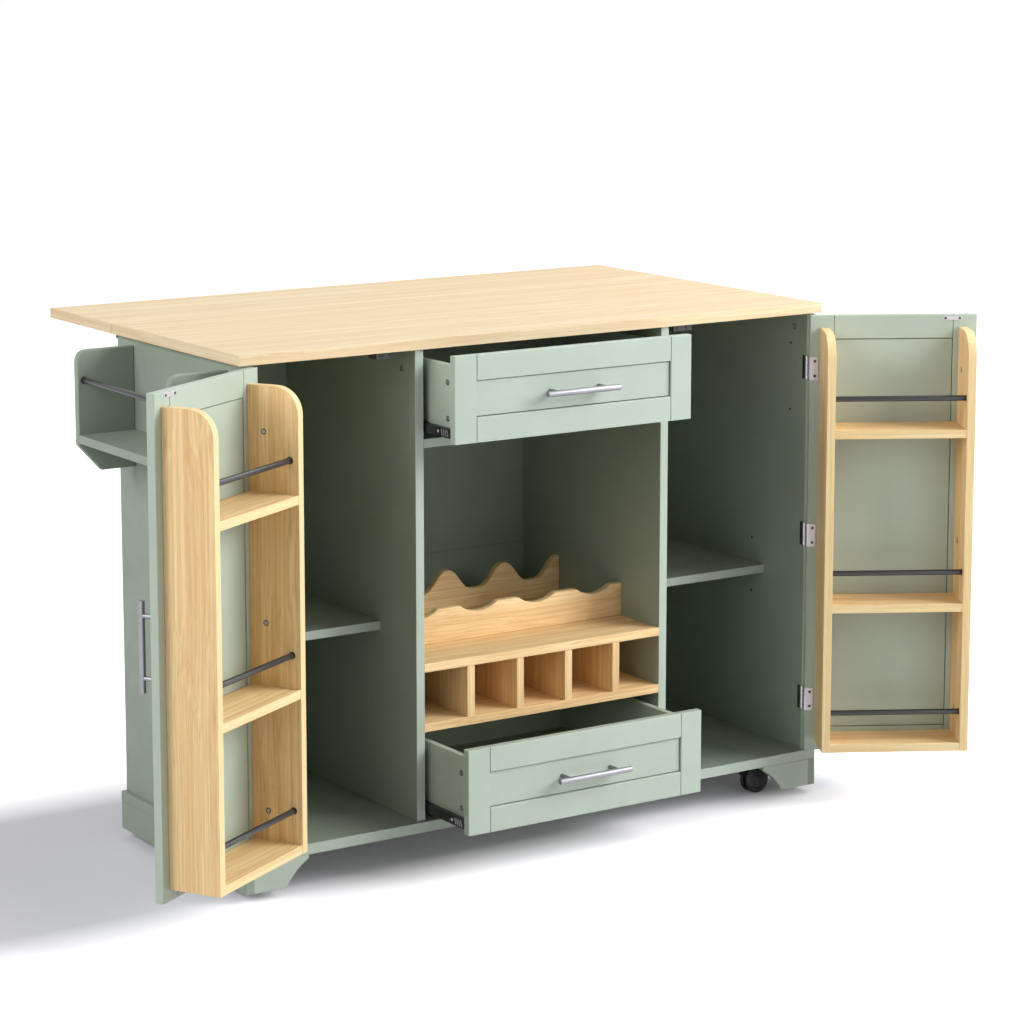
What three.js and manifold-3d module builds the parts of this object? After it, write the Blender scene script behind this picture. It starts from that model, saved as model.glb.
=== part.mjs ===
import * as THREE from 'three'
import { mergeVertices } from 'three/addons/utils/BufferGeometryUtils.js'
import Module from 'manifold-3d'

// Drop leaf kitchen island on casters: a carcass with three bays, two doors with spice racks, two
// drawers, a bottle bay, a side rack and a rear leaf held up by folding brackets. Millimetres,
// X to the right, Y to the back, Z up from the floor. It stands with doors open and drawers ajar.

const wasm = await Module()
wasm.setup()

// Gaps and board thicknesses
const FIT = 0.3
const BOARD = 15
const PANEL = 16
const TOP_THICK = 18
const SHEET = 4
const METAL = 1.5

// Worktop and leaf
const TOP_LENGTH = 1200
const TOP_DEPTH = 460
const LEAF_REACH = 246
const TOTAL_DEPTH = TOP_DEPTH + LEAF_REACH
const HEIGHT = 917
const SEAM = 0.6
const CENTRE = TOP_LENGTH / 2
const TOP_UNDER = HEIGHT - TOP_THICK

// Casters, plinth and bottom panel
const CASTER_HEIGHT = 65
const BASE_TOP = CASTER_HEIGHT + TOP_THICK
const FOOT_HEIGHT = 50
const FOOT_LENGTH = 120
const FOOT_LIP = 6
const FOOT_TOE_LENGTH = 74
const FOOT_TOE_RADIUS = 5.5
const FOOT_ARC = 0.36

// Carcass
const FRONT = 8.5
const REAR_OVERHANG = 2.5
const PANEL_DEPTH = TOP_DEPTH - FRONT - REAR_OVERHANG
const REAR = FRONT + PANEL_DEPTH
const SIDE_INSET = 10.5
const BAY_WIDTH = 311.3
const SIDE_IN = SIDE_INSET + PANEL
const PART_OUT = SIDE_IN + BAY_WIDTH
const PART_IN = PART_OUT + PANEL
const INSIDE_HEIGHT = TOP_UNDER - BASE_TOP
const BACK_INSET = 9.5
const BACK_FRONT = REAR - BACK_INSET
const BACK_JOINT = BASE_TOP + INSIDE_HEIGHT * 0.438
const BACK_LAP = 6
const BACK_TOP = TOP_UNDER - METAL - 2 * FIT
const GROOVE = 4
const LOWER_BACK_FRONT = BACK_FRONT - SHEET - FIT

// Fronts of doors and drawers stand clear of the boards below and above them
const CLEAR_BELOW = 3
const CLEAR_ABOVE = 2.5
const FRONT_HEIGHT = 148
const UPPER_FRONT_TOP = TOP_UNDER - CLEAR_ABOVE
const LOWER_FRONT_TOP = BASE_TOP + 4.5 + FRONT_HEIGHT

// Levels inside the carcass, each the top face of its board
const BAY_SHELF_TOP = BASE_TOP + INSIDE_HEIGHT * 0.4032
const BAY_SHELF_SETBACK = 117.5
const DRAWER_DIVIDER_TOP = UPPER_FRONT_TOP - FRONT_HEIGHT - CLEAR_BELOW
const CUBBY_BASE_TOP = LOWER_FRONT_TOP + CLEAR_ABOVE + BOARD
const CUBBY_HEIGHT = 104.5
const CUBBY_TOP = CUBBY_BASE_TOP + CUBBY_HEIGHT
const CUBBY_DIVIDERS = 4

// Bottle rests
const BOTTLES = 4
const FRONT_REST_SETBACK = 115.5
const REAR_REST_SETBACK = 315.5
const FRONT_REST = { y: FRONT + FRONT_REST_SETBACK, crest: 60.5, trough: 47.5, flat: 47 }
const REAR_REST = { y: FRONT + REAR_REST_SETBACK, crest: 76, trough: 36.5, widen: 0.14, round: 0.06 }

// Doors, measured from the hinge pin: s along the door, t through it from its outer face
const DOOR_OPEN = 150
const DOOR_GAP = 3.5
const DOOR_WIDTH = BAY_WIDTH - 2 * DOOR_GAP
const DOOR_BOTTOM = BASE_TOP + CLEAR_BELOW
const DOOR_TOP = TOP_UNDER - CLEAR_ABOVE
const STILE = 43
const RAIL = 43
const RECESS = 4.5
const INNER_RECESS = 2

// Door hinges
const HINGE_HEIGHT = 43
const HINGE_END = 97
const HINGE_LEVELS = [DOOR_BOTTOM + HINGE_END, (DOOR_BOTTOM + DOOR_TOP) / 2, DOOR_TOP - HINGE_END]
const KNUCKLE = DOOR_GAP - FIT
const HINGE_LEAF_DEPTH = 11

// Spice racks, measured on the door
const SPICE_MARGIN = 18
const SPICE_START = DOOR_GAP + SPICE_MARGIN
const SPICE_END = DOOR_GAP + DOOR_WIDTH - SPICE_MARGIN
const SPICE_DEPTH = 94
const SPICE_BOTTOM = DOOR_BOTTOM + 19.5
const SPICE_TOP = DOOR_TOP - 22.5
const SPICE_CORNER = 45
const SPICE_HEIGHT = SPICE_TOP - SPICE_BOTTOM
const SPICE_SHELVES = [
  SPICE_BOTTOM + BOARD,
  SPICE_BOTTOM + SPICE_HEIGHT * 0.3578,
  SPICE_BOTTOM + SPICE_HEIGHT * 0.7736
]
const SPICE_ROD_ABOVE = 55.5
const SPICE_ROD_OUT = 77.5
const ROD_RADIUS = 5

// Bar handles
const HANDLE_LENGTH = 148
const HANDLE_POSTS = 100
const HANDLE_OUT = 29
const HANDLE_BAR = 5.2
const HANDLE_POST = 4
const HANDLE_MARGIN = 20.3
const DOOR_HANDLE_S = DOOR_GAP + DOOR_WIDTH - HANDLE_MARGIN

// Magnetic catches under the worktop, behind the free edge of each door
const CATCH_WIDTH = 40
const CATCH_MARGIN = 40.8
const CATCH_CENTRE = SIDE_IN + DOOR_GAP + DOOR_WIDTH - CATCH_MARGIN
const CATCH_DEPTH = 26
const CATCH_HEIGHT = 14
const CATCH_FRONT = FRONT + BOARD + 1.7

// Drawers
const FRONT_GAP = 3.5
const UPPER_PULL = 93.2
const LOWER_PULL = 132.5
const BOX_GAP = 12.7
const BOX_WALL = 12
const BOX_LENGTH = PANEL_DEPTH - 49
const BOX_DROP = 18
const BOX_HEIGHT = 124.5
const BOX_FLOOR = 5
const BOX_FLOOR_UP = 24
const SLIDE_HEIGHT = 22
const SLIDE_FLANGE = 2
const SLIDE_FRONT = FRONT + BOARD + 2.5

// Side rack on the left side panel
const RACK_OUT = 107.1
const RACK_INSET = 47.9
const RACK_FRONT = FRONT + RACK_INSET
const RACK_REAR = REAR - RACK_INSET
const RACK_TOP = TOP_UNDER - 14
const RACK_HEIGHT = 210
const RACK_BOTTOM = RACK_TOP - RACK_HEIGHT
const RACK_CORNER = 23
const RACK_SHELF_TOP = RACK_BOTTOM + 65
const RACK_CHAMFER_X = 42.6
const RACK_CHAMFER_Z = 46.5
const RACK_ROD_IN = 11.1
const RACK_ROD_Z = RACK_TOP - 51.4
const ROD_SEAT = 8

// Leaf hinges: the axis lies under the seam
const BARREL = 2.6
const AXIS_Y = REAR + FIT + BARREL
const AXIS_Z = TOP_UNDER - 6
const LEAF_HINGE_START = 10
const LEAF_HINGE_LENGTH = 60
const LEAF_HINGE_DEPTH = 35

// Folding brackets behind the partitions
const LEG_WIDTH = 14
const LEG_DEPTH = 5.6
const LEG_TOP = AXIS_Z - 16
const LEG_LENGTH = 237
const LEG_BOTTOM = LEG_TOP - LEG_LENGTH
const ARM_LENGTH = 134
const ARM_DEPTH = 10.7
const ARM_REACH = 100
const STRAP_WIDTH = 10
const STRAP_THICK = 3.4
const STRAP_FOOT_Z = AXIS_Z - 98
const STRAP_PIN = 1.2

// Twin wheel casters
const WHEEL_RADIUS = 25
const WHEEL_WIDTH = 24
const HOOD_WEB = 7.4
const HOOD_THICK = 2.5
const WHEEL_PLAY = 1
const AXLE_RADIUS = 3
const TRAIL = 18.4
const SWIVEL_X = 75
const SWIVEL_Y = 62
const STEM_RADIUS = 9
const SWIVEL_CAP = 15

// Finishes
const PAINT = { color: 0x9fb3a0, roughness: 0.55, metalness: 0 }
const OAK = { color: 0xe2bc85, roughness: 0.5, metalness: 0 }
const NICKEL = { color: 0xb9bcbf, roughness: 0.3, metalness: 1 }
const BLACK_STEEL = { color: 0x2b2c2e, roughness: 0.45, metalness: 0.6 }
const BLACK_PLASTIC = { color: 0x1c1d1e, roughness: 0.5, metalness: 0 }
const GREY_PLASTIC = { color: 0x5a5c5c, roughness: 0.5, metalness: 0 }

// A closed three.js geometry as a solid
const solid = geometry => {
  geometry.deleteAttribute('normal')
  geometry.deleteAttribute('uv')
  const merged = mergeVertices(geometry, FIT / 1000)
  return new wasm.Manifold(new wasm.Mesh({
    numProp: 3,
    vertProperties: new Float32Array(merged.attributes.position.array),
    triVerts: new Uint32Array(merged.index.array)
  }))
}

const box = (x0, x1, y0, y1, z0, z1) => {
  const geometry = new THREE.BoxGeometry(x1 - x0, y1 - y0, z1 - z0)
  geometry.translate((x0 + x1) / 2, (y0 + y1) / 2, (z0 + z1) / 2)
  return solid(geometry)
}

const PLANES = {
  x: [new THREE.Vector3(0, 1, 0), new THREE.Vector3(0, 0, 1), new THREE.Vector3(1, 0, 0)],
  y: [new THREE.Vector3(0, 0, 1), new THREE.Vector3(1, 0, 0), new THREE.Vector3(0, 1, 0)],
  z: [new THREE.Vector3(1, 0, 0), new THREE.Vector3(0, 1, 0), new THREE.Vector3(0, 0, 1)]
}

// A shape drawn in (Y, Z), (Z, X) or (X, Y) and extruded along the remaining axis
const prism = (shape, axis, from, to) => {
  const geometry = new THREE.ExtrudeGeometry(shape, {
    depth: to - from,
    bevelEnabled: false,
    curveSegments: 10
  })
  geometry.translate(0, 0, from)
  geometry.applyMatrix4(new THREE.Matrix4().makeBasis(...PLANES[axis]))
  return solid(geometry)
}

const disc = (u, v, radius) => {
  const shape = new THREE.Shape()
  shape.absarc(u, v, radius, 0, Math.PI * 2, false)
  return shape
}

// A round bar along an axis, centred at (u, v) of that axis's plane
const bar = (axis, u, v, radius, from, to) => prism(disc(u, v, radius), axis, from, to)

const fuse = pieces => pieces.reduce((sum, piece) => sum.add(piece))
const mirrorX = piece => piece.translate([-CENTRE, 0, 0]).mirror([1, 0, 0]).translate([CENTRE, 0, 0])

// Worktop, leaf and bottom panel
const worktop = () => box(0, TOP_LENGTH, 0, TOP_DEPTH, TOP_UNDER, HEIGHT)
const dropLeaf = () => box(0, TOP_LENGTH, TOP_DEPTH + SEAM, TOTAL_DEPTH, TOP_UNDER, HEIGHT)
const bottomPanel = () => box(0, TOP_LENGTH, 0, REAR, CASTER_HEIGHT, BASE_TOP)

// Grooves that hold the back sheets, cut from a face at x towards dx
const backGroove = (x, dx, front, z0, z1) => {
  const depth = (GROOVE + FIT) * dx
  return box(Math.min(x, x + depth), Math.max(x, x + depth), front - FIT, front + SHEET + FIT, z0, z1)
}

const upright = x0 => box(x0, x0 + PANEL, FRONT, REAR, BASE_TOP + FIT, TOP_UNDER - FIT)

const sidePanel = () => {
  let panel = upright(SIDE_INSET).subtract(backGroove(SIDE_IN, -1, BACK_FRONT, BASE_TOP, TOP_UNDER))
  for (const z of HINGE_LEVELS) {
    const half = HINGE_HEIGHT / 2 + FIT
    panel = panel.subtract(bar('z', SIDE_IN, FRONT, DOOR_GAP, z - half, z + half))
  }
  return panel
}

// The fixed channel of a drawer slide, open towards the drawer
const slideChannel = z => {
  const y1 = SLIDE_FRONT + BOX_LENGTH
  const lip = PART_IN + BOX_GAP - METAL * 2
  const outer = box(PART_IN - METAL, lip, SLIDE_FRONT, y1, z, z + SLIDE_HEIGHT)
  const z0 = z + SLIDE_FLANGE
  const z1 = z + SLIDE_HEIGHT - SLIDE_FLANGE
  return outer.subtract(box(PART_IN + METAL, lip + 1, SLIDE_FRONT - 1, y1 + 1, z0, z1))
}

const slideLevel = frontTop => frontTop - BOX_DROP - BOX_HEIGHT

const partition = () => {
  const cuts = [
    backGroove(PART_OUT, 1, BACK_FRONT, BASE_TOP, TOP_UNDER),
    backGroove(PART_IN, -1, BACK_FRONT, BACK_JOINT - BACK_LAP - FIT, TOP_UNDER),
    backGroove(PART_IN, -1, LOWER_BACK_FRONT, BASE_TOP, BACK_JOINT)
  ]
  return fuse([
    upright(PART_OUT).subtract(fuse(cuts)),
    slideChannel(slideLevel(UPPER_FRONT_TOP)),
    slideChannel(slideLevel(LOWER_FRONT_TOP))
  ])
}

// A bracket foot: lip, concave arc and rounded toe, drawn in (Z, X)
const footShape = () => {
  const bottom = CASTER_HEIGHT - FOOT_HEIGHT
  const top = CASTER_HEIGHT - FIT
  const lip = top - FOOT_LIP
  const toe = bottom + FOOT_TOE_RADIUS
  const shape = new THREE.Shape()
  shape.moveTo(bottom, 0)
  shape.lineTo(top, 0)
  shape.lineTo(top, FOOT_LENGTH)
  shape.lineTo(lip, FOOT_LENGTH)
  shape.quadraticCurveTo(
    lip - (lip - toe) * FOOT_ARC,
    FOOT_TOE_LENGTH + FOOT_TOE_RADIUS + (FOOT_LENGTH - FOOT_TOE_LENGTH) * FOOT_ARC,
    toe,
    FOOT_TOE_LENGTH + FOOT_TOE_RADIUS
  )
  shape.quadraticCurveTo(bottom, FOOT_TOE_LENGTH + FOOT_TOE_RADIUS, bottom, FOOT_TOE_LENGTH)
  return shape
}

const plinth = () => fuse([
  box(0, PANEL, 0, REAR, CASTER_HEIGHT - FOOT_HEIGHT, CASTER_HEIGHT - FIT),
  prism(footShape(), 'y', 0, PANEL),
  prism(footShape(), 'y', REAR - PANEL, REAR)
])

const bayBack = () => {
  const x0 = SIDE_IN - GROOVE
  const x1 = PART_OUT + GROOVE
  return box(x0, x1, BACK_FRONT, BACK_FRONT + SHEET, BASE_TOP + FIT, BACK_TOP)
}

const centreBack = (front, z0, z1) => {
  const x0 = PART_IN - GROOVE
  return box(x0, TOP_LENGTH - x0, front, front + SHEET, z0, z1)
}

const bayShelf = () => {
  const z1 = BAY_SHELF_TOP
  return box(SIDE_IN + FIT, PART_OUT - FIT, FRONT + BAY_SHELF_SETBACK, BACK_FRONT - FIT, z1 - BOARD, z1)
}

// A board across the centre bay with its top face at z1
const centreBoard = (z1, rear) => {
  const x0 = PART_IN + FIT
  return box(x0, TOP_LENGTH - x0, FRONT, rear, z1 - BOARD, z1)
}

const cubbyRack = () => {
  const rear = LOWER_BACK_FRONT - FIT
  const span = TOP_LENGTH - 2 * PART_IN
  const cell = (span - CUBBY_DIVIDERS * BOARD) / (CUBBY_DIVIDERS + 1)
  const pieces = [centreBoard(CUBBY_BASE_TOP, rear)]
  for (let i = 1; i <= CUBBY_DIVIDERS; i++) {
    const x0 = PART_IN + i * cell + (i - 1) * BOARD
    pieces.push(box(x0, x0 + BOARD, FRONT, rear, CUBBY_BASE_TOP - 1, CUBBY_TOP - BOARD - FIT))
  }
  return fuse(pieces)
}

// A bottle rest standing on the cubby board, its upper edge given by height(x from the left wall)
const bottleRest = (y0, height, steps) => {
  const x0 = PART_IN + FIT
  const x1 = TOP_LENGTH - x0
  const z0 = CUBBY_TOP + FIT
  const shape = new THREE.Shape()
  shape.moveTo(z0, x0)
  for (let i = 0; i <= steps; i++) {
    const x = x0 + (x1 - x0) * i / steps
    shape.lineTo(CUBBY_TOP + height(x - PART_IN), x)
  }
  shape.lineTo(z0, x1)
  return prism(shape, 'y', y0, y0 + BOARD)
}

const pitch = (TOP_LENGTH - 2 * PART_IN) / BOTTLES

// Round dips between flat crests, for the necks
const neckHeight = x => {
  const fromTrough = Math.abs((x % pitch) - pitch / 2)
  const half = (pitch - FRONT_REST.flat) / 2
  const depth = FRONT_REST.crest - FRONT_REST.trough
  const radius = (half * half + depth * depth) / (2 * depth)
  if (fromTrough >= half) return FRONT_REST.crest
  return FRONT_REST.trough + radius - Math.sqrt(radius * radius - fromTrough * fromTrough)
}

// A wave with round crests at the walls and wider troughs, for the bodies
const bodyHeight = x => {
  const { crest, trough, widen, round } = REAR_REST
  const turn = 2 * Math.PI * x / pitch
  const wave = Math.cos(turn) + widen * Math.cos(2 * turn) - round * Math.cos(3 * turn)
  return crest + (crest - trough) / 2 / (1 - round) * (wave - 1 - widen + round)
}

// Side rack, drawn with its outer edge at negative X
const rackEnd = (y0, seatSide) => {
  const x1 = SIDE_INSET - FIT
  const x0 = SIDE_INSET - RACK_OUT
  const shape = new THREE.Shape()
  shape.moveTo(RACK_BOTTOM, x1)
  shape.lineTo(RACK_BOTTOM, x0 + RACK_CHAMFER_X)
  shape.lineTo(RACK_BOTTOM + RACK_CHAMFER_Z, x0)
  shape.lineTo(RACK_TOP - RACK_CORNER, x0)
  shape.quadraticCurveTo(RACK_TOP, x0, RACK_TOP, x0 + RACK_CORNER)
  shape.lineTo(RACK_TOP, x1)
  const seat = seatSide > 0 ? [y0 + BOARD - ROD_SEAT, y0 + BOARD + 1] : [y0 - 1, y0 + ROD_SEAT]
  const hole = bar('y', RACK_ROD_Z, x0 + RACK_ROD_IN, ROD_RADIUS + FIT, ...seat)
  return prism(shape, 'y', y0, y0 + BOARD).subtract(hole)
}

const rackShelf = () => {
  const y0 = RACK_FRONT + BOARD + FIT
  const y1 = RACK_REAR - BOARD - FIT
  const z1 = RACK_SHELF_TOP
  return box(SIDE_INSET - RACK_OUT, SIDE_INSET - FIT, y0, y1, z1 - BOARD, z1)
}

const rackRod = () => {
  const inset = BOARD - ROD_SEAT + FIT
  const x = SIDE_INSET - RACK_OUT + RACK_ROD_IN
  return bar('y', RACK_ROD_Z, x, ROD_RADIUS, RACK_FRONT + inset, RACK_REAR - inset)
}

// A shaker panel in (X, Z) between y0 and y1, recessed inside its frame on the faces asked for
const shaker = (x0, x1, z0, z1, y0, y1, bothFaces) => {
  const pocket = (a, b) => box(x0 + STILE, x1 - STILE, a, b, z0 + RAIL, z1 - RAIL)
  const panel = box(x0, x1, y0, y1, z0, z1).subtract(pocket(y0 - 1, y0 + RECESS))
  return bothFaces ? panel.subtract(pocket(y1 - INNER_RECESS, y1 + 1)) : panel
}

// Door pieces are built shut, with the hinge pin at the origin, then swung open
const doorLeaf = () => {
  const s1 = DOOR_GAP + DOOR_WIDTH
  return shaker(DOOR_GAP, s1, DOOR_BOTTOM, DOOR_TOP, 0, BOARD, true)
}

const spiceSide = s0 => {
  const t0 = BOARD + FIT
  const t1 = BOARD + SPICE_DEPTH
  const shape = new THREE.Shape()
  shape.moveTo(t0, SPICE_BOTTOM)
  shape.lineTo(t1, SPICE_BOTTOM)
  shape.lineTo(t1, SPICE_TOP - SPICE_CORNER)
  shape.absarc(t1 - SPICE_CORNER, SPICE_TOP - SPICE_CORNER, SPICE_CORNER, 0, Math.PI / 2, false)
  shape.lineTo(t0, SPICE_TOP)
  return prism(shape, 'x', s0, s0 + BOARD)
}

const spiceRack = () => {
  const inner = BOARD / 2
  const pieces = [spiceSide(SPICE_START), spiceSide(SPICE_END - BOARD)]
  for (const z of SPICE_SHELVES) {
    const s0 = SPICE_START + inner
    const s1 = SPICE_END - inner
    pieces.push(box(s0, s1, BOARD + FIT, BOARD + SPICE_DEPTH, z - BOARD, z))
    pieces.push(bar('x', BOARD + SPICE_ROD_OUT, z + SPICE_ROD_ABOVE, ROD_RADIUS, s0, s1))
  }
  return fuse(pieces)
}

// A bar on two posts, standing along an axis in front of a face at y
const handle = (axis, u, v, y) => {
  const along = { x: v, z: u }
  const half = HANDLE_LENGTH / 2
  const out = y - HANDLE_OUT
  const rail = axis === 'z'
    ? bar('z', u, out, HANDLE_BAR, v - half, v + half)
    : bar('x', out, v, HANDLE_BAR, u - half, u + half)
  const posts = [-1, 1].map(side => {
    const shift = side * HANDLE_POSTS / 2
    const at = axis === 'z' ? [v + shift, along.z] : [along.x, u + shift]
    return bar('y', at[0], at[1], HANDLE_POST, out, y - FIT)
  })
  return fuse([rail, ...posts])
}

const doorHandle = () => handle('z', DOOR_HANDLE_S, (DOOR_BOTTOM + DOOR_TOP) / 2, 0)

const swing = piece => piece.rotate([0, 0, -DOOR_OPEN]).translate([SIDE_IN, FRONT, 0])

// The barrel of a door hinge with the leaf that is screwed to the side panel
const doorHinge = z => {
  const z0 = z - HINGE_HEIGHT / 2
  const z1 = z + HINGE_HEIGHT / 2
  const x0 = SIDE_IN + FIT
  return fuse([
    bar('z', SIDE_IN, FRONT, KNUCKLE, z0, z1),
    box(x0, x0 + METAL, FRONT, FRONT + HINGE_LEAF_DEPTH, z0, z1)
  ])
}

const magnetCatch = () => {
  const half = CATCH_WIDTH / 2
  const x0 = CATCH_CENTRE - half
  const z1 = TOP_UNDER - FIT
  const y0 = CATCH_FRONT + METAL
  const pieces = [box(x0, x0 + CATCH_WIDTH, y0, y0 + CATCH_DEPTH, z1 - CATCH_HEIGHT, z1)]
  for (const side of [-1, 1]) {
    const x = CATCH_CENTRE + side * half / 2
    pieces.push(bar('y', z1 - CATCH_HEIGHT / 2, x, ROD_RADIUS, CATCH_FRONT, y0 + 1))
  }
  return fuse(pieces)
}

// Drawers are built shut and then pulled out
const drawerFront = top => {
  const x0 = PART_IN + FRONT_GAP
  return shaker(x0, TOP_LENGTH - x0, top - FRONT_HEIGHT, top, FRONT, FRONT + BOARD, false)
}

const drawerBox = top => {
  const x0 = PART_IN + BOX_GAP
  const x1 = TOP_LENGTH - x0
  const y0 = FRONT + BOARD + FIT
  const y1 = y0 + BOX_LENGTH
  const z0 = slideLevel(top)
  const z1 = top - BOX_DROP
  const floor = z0 + BOX_FLOOR_UP
  const w = BOX_WALL
  const inside = box(x0 + w, x1 - w, y0 + w, y1 - w, floor, z1 + 1)
  const under = box(x0 + w, x1 - w, y0 + w, y1 - w, z0 - 1, floor - BOX_FLOOR)
  const runner = slideRunner(z0)
  const shell = box(x0, x1, y0, y1, z0, z1).subtract(inside).subtract(under)
  return fuse([shell, runner, mirrorX(runner)])
}

// The moving member of a slide, fixed to the drawer's side and running in the channel
const slideRunner = z => {
  const x0 = PART_IN + METAL + FIT
  const y0 = SLIDE_FRONT
  const z0 = z + SLIDE_FLANGE + FIT
  const z1 = z + SLIDE_HEIGHT - SLIDE_FLANGE - FIT
  return box(x0, PART_IN + BOX_GAP + METAL, y0, FRONT + BOARD + BOX_LENGTH, z0, z1)
}

const drawerHandle = top => handle('x', CENTRE, top - FRONT_HEIGHT / 2, FRONT + RECESS)

// Leaf hinge: barrel under the seam and the plate screwed under the worktop
const leafHinge = () => {
  const x0 = SIDE_IN + FIT
  const x1 = LEAF_HINGE_START + LEAF_HINGE_LENGTH
  const z1 = TOP_UNDER - FIT
  return fuse([
    bar('x', AXIS_Y, AXIS_Z, BARREL, LEAF_HINGE_START, x1),
    box(x0, x1, AXIS_Y - LEAF_HINGE_DEPTH, AXIS_Y, z1 - METAL, z1),
    box(x0, x1, REAR + FIT, AXIS_Y, AXIS_Z, z1)
  ])
}

// Folding bracket. The strap's foot runs up and down in the leg, at this distance from the axis
const BRACKET_X = PART_OUT + PANEL / 2
const LEG_FACE = REAR + FIT + METAL
const ARM_FACE = TOP_UNDER - FIT - METAL
const TRACK = (LEG_FACE - AXIS_Y + ARM_FACE - AXIS_Z) / 2

const bracketLeg = () => {
  const x0 = BRACKET_X - LEG_WIDTH / 2
  const x1 = BRACKET_X + LEG_WIDTH / 2
  const y0 = REAR + FIT
  const outer = box(x0, x1, y0, y0 + LEG_DEPTH, LEG_BOTTOM, LEG_TOP)
  const slot = box(x0 + METAL, x1 - METAL, LEG_FACE, y0 + LEG_DEPTH + 1, LEG_BOTTOM - 1, LEG_TOP + 1)
  // Notch that takes the strap's pin when the leaf hangs
  const pinZ = AXIS_Z - ARM_REACH
  const clear = STRAP_PIN + 2 * FIT
  const notch = box(x0 - 1, x1 + 1, AXIS_Y + TRACK - clear, y0 + LEG_DEPTH + 1, pinZ - clear, pinZ + clear)
  return outer.subtract(slot).subtract(notch)
}

const bracketArm = () => {
  const half = PANEL / 2 + FIT
  const y0 = AXIS_Y + (TOP_UNDER - AXIS_Z)
  const y1 = y0 + ARM_LENGTH
  const z1 = TOP_UNDER - FIT
  const inner = box(BRACKET_X - half, BRACKET_X + half, y0 - 1, y1 + 1, z1 - ARM_DEPTH - 1, ARM_FACE)
  const outer = half + METAL
  const hole = bar(
    'x', AXIS_Y + ARM_REACH, AXIS_Z + TRACK, STRAP_PIN + FIT, BRACKET_X - outer - 1, BRACKET_X + outer + 1
  )
  return box(BRACKET_X - outer, BRACKET_X + outer, y0, y1, z1 - ARM_DEPTH, z1).subtract(inner).subtract(hole)
}

const bracketStrap = () => {
  const top = new THREE.Vector2(AXIS_Y + ARM_REACH, AXIS_Z + TRACK)
  const foot = new THREE.Vector2(AXIS_Y + TRACK, STRAP_FOOT_Z)
  const lean = foot.clone().sub(top).angle()
  const r = STRAP_THICK / 2
  const shape = new THREE.Shape()
  shape.absarc(foot.x, foot.y, r, lean - Math.PI / 2, lean + Math.PI / 2, false)
  shape.absarc(top.x, top.y, r, lean + Math.PI / 2, lean + Math.PI * 1.5, false)
  const x0 = BRACKET_X - STRAP_WIDTH / 2
  const end = PANEL / 2 + FIT + METAL
  return fuse([
    prism(shape, 'x', x0, x0 + STRAP_WIDTH),
    bar('x', top.x, top.y, STRAP_PIN, BRACKET_X - end, BRACKET_X + end)
  ])
}

// Caster, its wheel trailing towards the left of the swivel
const casterWheel = (x, y) => {
  const half = WHEEL_WIDTH / 2
  const web = HOOD_WEB / 2 + FIT
  const z = WHEEL_RADIUS
  const shift = x - TRAIL
  return fuse([
    bar('y', z, shift, WHEEL_RADIUS, y - half, y - web),
    bar('y', z, shift, WHEEL_RADIUS, y + web, y + half),
    bar('y', z, shift, AXLE_RADIUS, y - web - 1, y + web + 1)
  ])
}

const casterFork = (x, y) => {
  const half = WHEEL_WIDTH / 2
  const web = HOOD_WEB / 2
  const z = WHEEL_RADIUS
  const shift = x - TRAIL
  const room = WHEEL_RADIUS + WHEEL_PLAY
  const hood = bar('y', z, shift, room + HOOD_THICK, y - half, y + half)
  const lower = box(shift - room * 2, x + room, y - half - 1, y + half + 1, -room, z + STEM_RADIUS)
  const knee = box(shift - STEM_RADIUS, shift + STEM_RADIUS, y - web, y + web, z, z * 2)
  const stem = bar('z', x, y, STEM_RADIUS, z + STEM_RADIUS, CASTER_HEIGHT - FIT)
  const cap = bar('z', x, y, SWIVEL_CAP, CASTER_HEIGHT - FIT * 2 - HOOD_THICK, CASTER_HEIGHT - FIT)
  const room1 = bar('y', z, shift, room, y - half - 1, y - web)
  const room2 = bar('y', z, shift, room, y + web, y + half + 1)
  return fuse([hood.subtract(lower), knee, bar('y', z, shift, STEM_RADIUS, y - web, y + web), stem, cap])
    .subtract(room1)
    .subtract(room2)
    .subtract(bar('y', z, shift, AXLE_RADIUS + FIT, y - half, y + half))
}

// Assembly
const group = new THREE.Group()
group.name = 'drop_leaf_kitchen_island'

const inner = new THREE.Group()
group.add(inner)

const add = (name, piece, finish) => {
  const mesh = piece.getMesh()
  const geometry = new THREE.BufferGeometry()
  geometry.setAttribute('position', new THREE.BufferAttribute(new Float32Array(mesh.vertProperties), 3))
  geometry.setIndex(new THREE.BufferAttribute(new Uint32Array(mesh.triVerts), 1))
  geometry.computeVertexNormals()
  const node = new THREE.Mesh(geometry, new THREE.MeshStandardMaterial(finish))
  node.name = name
  inner.add(node)
}

const addPair = (name, piece, finish) => {
  add(`${name}_left`, piece, finish)
  add(`${name}_right`, mirrorX(piece), finish)
}

const lowerRear = LOWER_BACK_FRONT - FIT

add('worktop', worktop(), OAK)
addPair('side_panel', sidePanel(), PAINT)
addPair('partition', partition(), PAINT)
add('bottom_panel', bottomPanel(), PAINT)
addPair('plinth', plinth(), PAINT)
addPair('back', bayBack(), PAINT)
add('back_centre_upper', centreBack(BACK_FRONT, BACK_JOINT - BACK_LAP, BACK_TOP), PAINT)
add('back_centre_lower', centreBack(LOWER_BACK_FRONT, BASE_TOP + FIT, BACK_JOINT - FIT), PAINT)
addPair('shelf', bayShelf(), PAINT)
add('drawer_divider', centreBoard(DRAWER_DIVIDER_TOP, BACK_FRONT - FIT), PAINT)
add('cubby_top', centreBoard(CUBBY_TOP, lowerRear), OAK)
add('cubby_rack', cubbyRack(), OAK)
add('bottle_rest_front', bottleRest(FRONT_REST.y, neckHeight, BOTTLES * 14), OAK)
add('bottle_rest_rear', bottleRest(REAR_REST.y, bodyHeight, BOTTLES * 14), OAK)
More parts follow.
